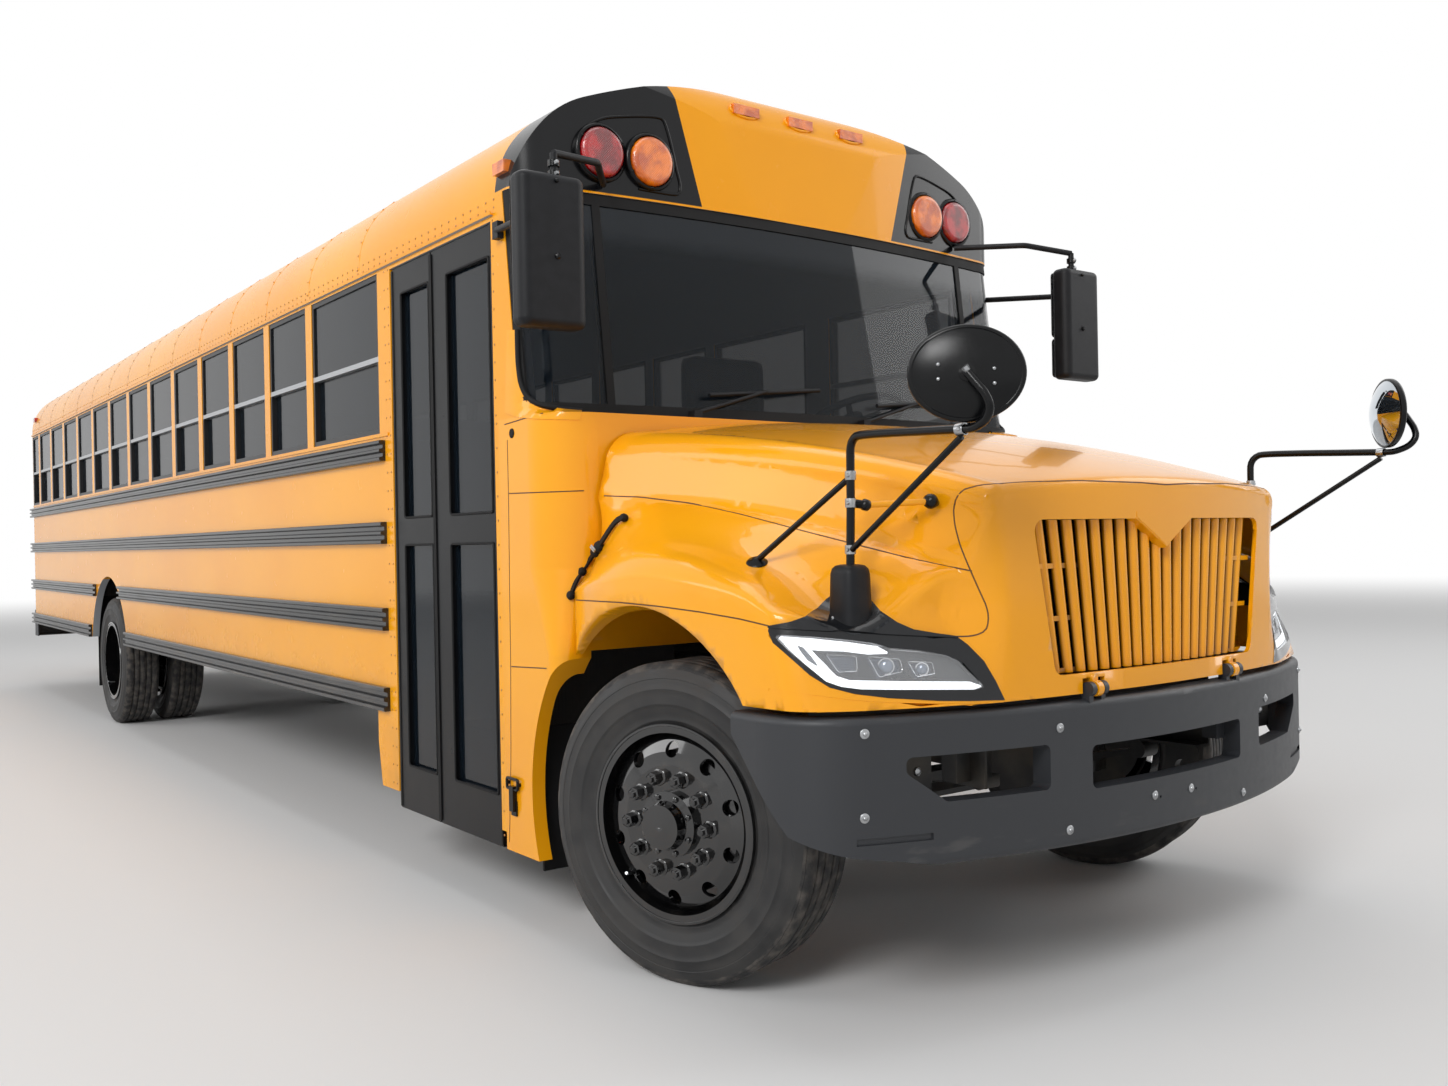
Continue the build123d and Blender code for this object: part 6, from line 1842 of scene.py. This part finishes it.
# Marker lamps: places across the cap, height, and half their width and height
MARKERS = (-272, 0, 272)
MARKER_HEIGHT = 2974
MARKER_HALF = (66, 27)
# How far ahead and behind a ray starts that finds the cap or the rear wall
AHEAD_OF_CAP, BEHIND_WALL = 600, -11500


def make_cap_rings(cap):
    """Edges of the lamps' pockets in the front cap, and rings with screws round the lamps."""
    trim = Shape()
    for side in (RIGHT, LEFT):
        edge = []
        for y, z, _ in smooth_line([Vector((*corner, 0)) for corner in CAP_POCKET], 70):
            place, normal = cap.cast(at(AHEAD_OF_CAP, side * y, z), -FORWARD)
            edge.append(place + normal * 0.0005)
        trim.tube(edge, 0.006, 8)
        for y, z in CAP_LAMPS:
            beside = [
                cap.cast(at(AHEAD_OF_CAP, side * (y + reach), z), -FORWARD)[0].x
                for reach in (CAP_LAMP_REACH, -CAP_LAMP_REACH)
            ]
            spot = Vector((max(beside) - 0.004, side * y * MM, z * MM))
            trim.turned(CAP_RING, spot, FORWARD, 56, ends=False)
            for step in range(6):
                turn = math.pi * (step + 0.5) / 3
                across = Vector((0, math.cos(turn), math.sin(turn)))
                add_head(trim, spot + across * 0.0945 + FORWARD * 0.007, FORWARD, 0.006, 0, 8, 1.0)
    trim.piece("cap_trim", ["gloss_black"], body_of("front_cap"), smooth=50, slot="black_paint")


def make_marker_rims(cap):
    """Raised oval rims round the three marker lamps."""
    rims = Shape()
    wide, tall = MARKER_HALF
    for y in MARKERS:
        rim = []
        for step in range(36):
            turn = 2 * math.pi * step / 36
            start = at(AHEAD_OF_CAP, y + wide * math.cos(turn), MARKER_HEIGHT + tall * math.sin(turn))
            place, normal = cap.cast(start, -FORWARD)
            rim.append(place + normal * 0.002)
        rims.tube(rim, 0.0055, 8, loop=True)
    rims.piece("marker_rims", ["hood_paint"], body_of("front_cap"), smooth=60, slot="yellow_paint")


def add_visor(shape, spot, radius):
    """A thin hood over the top half of a rear lamp."""
    visor = []
    for step in range(25):
        turn = math.pi * (step / 24) * 1.1 - 0.05 * math.pi
        inner = Vector((0, math.cos(turn), math.sin(turn))) * radius
        outer = inner * 1.03
        reach = 0.075 * math.sin(max(min(turn, math.pi), 0)) ** 0.6 + 0.006
        root, tip = FORWARD * 0.002, FORWARD * -reach
        visor.append([spot + inner + root, spot + inner + tip, spot + outer + tip, spot + outer + root])
    shape.rings(visor)


def make_rear_rings():
    """Rings round the rear lamps, and visors over the high ones."""
    rear = Shape()
    wall = Skin("rear_wall")
    for side in (RIGHT, LEFT):
        for y, z in REAR_LAMPS:
            place, _ = wall.cast(at(BEHIND_WALL, side * (y - REAR_LAMP_REACH), z), FORWARD)
            spot = Vector((place.x, side * y * MM, z * MM))
            rear.turned(REAR_RING, spot, -FORWARD, 48, ends=False)
            if z > 2000:
                add_visor(rear, spot, 0.104)
    rear.piece("rear_lamp_rings", ["gloss_black"], body_of("rear_wall"), smooth=50, slot="black_paint")


def make_cap_trim():
    """Trim of the front cap's lamps and of the rear lamps."""
    cap = Skin("front_cap")
    make_cap_rings(cap)
    make_marker_rims(cap)
    make_rear_rings()


# Side mirrors and stop arm

# Middle of a side mirror's head, and the lows and highs of its two glasses from there
MIRROR_HEAD = (-300, 1315, 2245)
GLASS_SPANS = ((-225, -62), (-50, 226))
GLASS_HALF = 104
# Heights of the clamps on the mirror's post, and of the buttons on its front with their radius
POST_CLAMPS = (248, 282)
BUTTONS = ((-20, 0.010), (215, 0.007))
POST_CLAMP = ((0.014, -0.010), (0.019, -0.010), (0.019, 0.010), (0.014, 0.010))


def make_mirror_trim():
    """Glasses, clamps and nuts of the side mirrors."""
    trim = Shape()
    x, y, z = MIRROR_HEAD
    for side in (RIGHT, LEFT):
        for low, high in GLASS_SPANS:
            corners = ((-GLASS_HALF, low), (GLASS_HALF, low), (GLASS_HALF, high), (-GLASS_HALF, high))
            outline = rounded(corners, 16)
            front, back = (
                [at(x - 45 - depth, side * y + a, z + b) for a, b in outline] for depth in (-2, 2.5)
            )
            trim.rings([front, back] if side == RIGHT else [front[::-1], back[::-1]])
            loop = [at(x - 46.5, side * y + a, z + b) for a, b in outline]
            trim.tube(loop, 0.0035, 6, number=1, loop=True)
        for b, radius in BUTTONS:
            button = ((radius, -0.004), (radius, 0.004), (radius * 0.5, 0.009), (0, 0.009))
            trim.turned(button, at(x + 45, side * (y - 8), z + b), FORWARD, 16, number=1)
        post_y = side * (y - 25)
        for b in POST_CLAMPS:
            trim.turned(POST_CLAMP, at(x, post_y, z + b), (0, 0, 1), 20, number=1, ends=False)
        for b in reversed(POST_CLAMPS):
            add_head(trim, at(x + 16, post_y, z + b), FORWARD, 0.010, 2, 6, 1.1)
    trim.piece("side_mirror_trim", ["mirror_glass", "gloss_black", "steel"], body_of("side_mirrors"),
               smooth=40, slot="sash_metal")


STOP_LAMP_HEIGHTS = (-150, 150)
STOP_LAMP_RING = ((0.036, -0.002), (0.043, -0.002), (0.043, 0.004), (0.039, 0.007), (0.036, 0.004))
STOP_LAMP_LENS = ((0.038, 0.0), (0.036, 0.007), (0.026, 0.012), (0.012, 0.015), (0.0, 0.016))


def make_stop_lamps():
    """Two lamps with rings on each face of the stop arm."""
    lamps = Shape()
    arm = Skin("stop_arm")
    x, y, z = STOP_CENTRE
    for b in STOP_LAMP_HEIGHTS:
        for side in (LEFT, RIGHT):
            out = Vector((0, side, 0))
            place, _ = arm.cast(at(x, y + side * 200, z + b), -out)
            lamps.turned(STOP_LAMP_RING, place, out, 32, number=1, ends=False)
            lamps.turned(STOP_LAMP_LENS, place, out, 32)
    lamps.piece("stop_arm_lamps", ["red_lens", "gloss_black"], body_of("stop_arm"), smooth=50,
                slot="red_lens")


# Stage

FLOOR_HALF = 60
# Where the floor's grey starts to fade and where it is white, in metres
FADE_START, FADE_END = 13.0, 34.0
SENSOR_WIDTH = 36.0
# Light of the plain world on the bus; the camera, glass and gloss see it at full white
WORLD_STRENGTH = 0.36
# Soft lights: name, place, aim, size and power
LIGHTS = (
    ("key_light", (12, -14, 11), (0, 0, 1.2), (6, 6), 1700),
    ("side_light", (-6, -16, 9), (-2, 0, 1), (12, 6), 650),
    ("far_light", (10, 13, 9), (2, 0, 1), (8, 8), 500),
    ("top_light", (0, 0, 14), (0, 0, 0), (16, 6), 500),
)


def floor_finish():
    """Pale floor that fades to plain white far from the bus."""
    s = Shader("stage_floor")
    s.set(Base_Color=(0.78, 0.78, 0.78, 1.0), Roughness=0.75)
    far = s.vector("LENGTH", s.place(), (0.0, 0.0, 0.0), "Value")
    white = s.node("ShaderNodeEmission", {}, {"Color": (1.0, 1.0, 1.0, 1.0), "Strength": 1.0})
    grey = Field(s, s.surface.outputs[0])
    share = s.step(far, FADE_START, FADE_END)
    mixed = s.node("ShaderNodeMixShader", {}, {0: share, 1: grey, 2: white})
    s.feed(s.tree.nodes["Material Output"].inputs["Surface"], mixed)
    return s.material


def make_world(scene):
    """A plain world that the camera, gloss and glass see as white."""
    world = bpy.data.worlds.new("plain_studio")
    scene.world = world
    world.use_nodes = True
    nodes, links = world.node_tree.nodes, world.node_tree.links
    path = nodes.new("ShaderNodeLightPath")
    seen = path.outputs["Is Camera Ray"]
    for ray in ("Is Transmission Ray", "Is Glossy Ray"):
        either = nodes.new("ShaderNodeMath")
        either.operation = "MAXIMUM"
        links.new(seen, either.inputs[0])
        links.new(path.outputs[ray], either.inputs[1])
        seen = either.outputs[0]
    strength = nodes.new("ShaderNodeMapRange")
    strength.inputs["To Min"].default_value = WORLD_STRENGTH
    strength.inputs["To Max"].default_value = 1.0
    links.new(seen, strength.inputs["Value"])
    back = nodes["Background"]
    back.inputs["Color"].default_value = (1.0, 1.0, 1.0, 1.0)
    links.new(strength.outputs[0], back.inputs["Strength"])


def make_stage(scene):
    """The floor, the lights, the world and the camera."""
    corners = [(-FLOOR_HALF, -FLOOR_HALF, 0), (FLOOR_HALF, -FLOOR_HALF, 0),
               (FLOOR_HALF, FLOOR_HALF, 0), (-FLOOR_HALF, FLOOR_HALF, 0)]
    mesh = bpy.data.meshes.new("stage_floor")
    mesh.from_pydata(corners, [], [(0, 1, 2, 3)])
    mesh.materials.append(floor_finish())
    floor = bpy.data.objects.new("stage_floor", mesh)
    scene.collection.objects.link(floor)
    make_world(scene)
    for name, place, aim, size, power in LIGHTS:
        light = bpy.data.lights.new(name, "AREA")
        light.shape = "RECTANGLE"
        light.size, light.size_y = size
        light.energy = power
        lamp = bpy.data.objects.new(name, light)
        lamp.location = place
        lamp.rotation_euler = (Vector(aim) - Vector(place)).to_track_quat("-Z", "Y").to_euler()
        scene.collection.objects.link(lamp)
    camera = bpy.data.cameras.new("photo_camera")
    camera.sensor_width = SENSOR_WIDTH
    camera.lens = SENSOR_WIDTH * FOCAL_PIXELS / IMAGE_WIDTH
    camera.clip_end = 300
    seer = bpy.data.objects.new("photo_camera", camera)
    seer.matrix_world = camera_matrix()
    scene.collection.objects.link(seer)
    scene.camera = seer
    scene.view_settings.view_transform = "Standard"


# Operators, sidebar and registration


class BUS_OT_finishes(bpy.types.Operator):
    """Colour the CAD nodes"""

    bl_idname = "bus.finishes"
    bl_label = "Finishes"

    def execute(self, context):
        colour_nodes()
        return {"FINISHED"}


class BUS_OT_wheels(bpy.types.Operator):
    """Add tyres and wheel nuts"""

    bl_idname = "bus.wheels"
    bl_label = "Tyres and nuts"

    def execute(self, context):
        make_wheels(context.scene.bus_sizes)
        return {"FINISHED"}


class BUS_OT_seats(bpy.types.Operator):
    """Add the padded seats"""

    bl_idname = "bus.seats"
    bl_label = "Seats"

    def execute(self, context):
        make_seats(context.scene.bus_sizes)
        return {"FINISHED"}


class BUS_OT_body_trim(bpy.types.Operator):
    """Add panel seams, gutters and rivets"""

    bl_idname = "bus.body_trim"
    bl_label = "Body trim"

    def execute(self, context):
        make_body_trim(context.scene.bus_sizes)
        return {"FINISHED"}


class BUS_OT_door_trim(bpy.types.Operator):
    """Add door rubbers"""

    bl_idname = "bus.door_trim"
    bl_label = "Door trim"

    def execute(self, context):
        make_door_trim()
        return {"FINISHED"}


class BUS_OT_front_trim(bpy.types.Operator):
    """Add the hood, its lamps, mirrors and straps"""

    bl_idname = "bus.front_trim"
    bl_label = "Front trim"

    def execute(self, context):
        make_front_trim(context.scene.bus_sizes)
        return {"FINISHED"}


class BUS_OT_windshield_corners(bpy.types.Operator):
    """Add the windshield's corners and gaskets and the cowl's trim"""

    bl_idname = "bus.windshield_corners"
    bl_label = "Windshield corners"

    def execute(self, context):
        make_windshield_corners(context.scene.bus_sizes)
        return {"FINISHED"}


class BUS_OT_bumper_trim(bpy.types.Operator):
    """Add bolts and brackets of the front bumper"""

    bl_idname = "bus.bumper_trim"
    bl_label = "Bumper trim"

    def execute(self, context):
        make_bumper_trim()
        return {"FINISHED"}


class BUS_OT_cap_trim(bpy.types.Operator):
    """Add rings and pockets round the lamps"""

    bl_idname = "bus.cap_trim"
    bl_label = "Cap trim"

    def execute(self, context):
        make_cap_trim()
        return {"FINISHED"}


class BUS_OT_mirror_trim(bpy.types.Operator):
    """Add glasses and clamps of the side mirrors"""

    bl_idname = "bus.mirror_trim"
    bl_label = "Mirror trim"

    def execute(self, context):
        make_mirror_trim()
        return {"FINISHED"}


class BUS_OT_stop_lamps(bpy.types.Operator):
    """Add the lamps of the stop arm"""

    bl_idname = "bus.stop_lamps"
    bl_label = "Stop lamps"

    def execute(self, context):
        make_stop_lamps()
        return {"FINISHED"}


class BUS_OT_stage(bpy.types.Operator):
    """Add floor, lights and camera"""

    bl_idname = "bus.stage"
    bl_label = "Stage"

    def execute(self, context):
        make_stage(context.scene)
        return {"FINISHED"}


OPERATORS = (
    BUS_OT_finishes,
    BUS_OT_wheels,
    BUS_OT_seats,
    BUS_OT_body_trim,
    BUS_OT_door_trim,
    BUS_OT_front_trim,
    BUS_OT_windshield_corners,
    BUS_OT_bumper_trim,
    BUS_OT_cap_trim,
    BUS_OT_mirror_trim,
    BUS_OT_stop_lamps,
    BUS_OT_stage,
)


class BUS_PT_sidebar(bpy.types.Panel):
    """Lists the pieces of the bus and their values."""

    bl_idname = "BUS_PT_sidebar"
    bl_label = "School Bus"
    bl_space_type = "VIEW_3D"
    bl_region_type = "UI"
    bl_category = "School Bus"

    def draw(self, context):
        for entry in OPERATORS:
            self.layout.operator(entry.bl_idname)
        for group in (context.scene.bus_colours, context.scene.bus_sizes):
            for key in group.bl_rna.properties.keys():
                if key not in ("rna_type", "name"):
                    self.layout.prop(group, key)


CLASSES = (BusColours, BusSizes, *OPERATORS, BUS_PT_sidebar)


def register():
    for entry in CLASSES:
        bpy.utils.register_class(entry)
    bpy.types.Scene.bus_colours = bpy.props.PointerProperty(type=BusColours)
    bpy.types.Scene.bus_sizes = bpy.props.PointerProperty(type=BusSizes)


def unregister():
    del bpy.types.Scene.bus_sizes
    del bpy.types.Scene.bus_colours
    for entry in reversed(CLASSES):
        bpy.utils.unregister_class(entry)


def main():
    register()
    for entry in OPERATORS:
        group, name = entry.bl_idname.split(".")
        getattr(getattr(bpy.ops, group), name)()


if __name__ == "__main__":
    main()
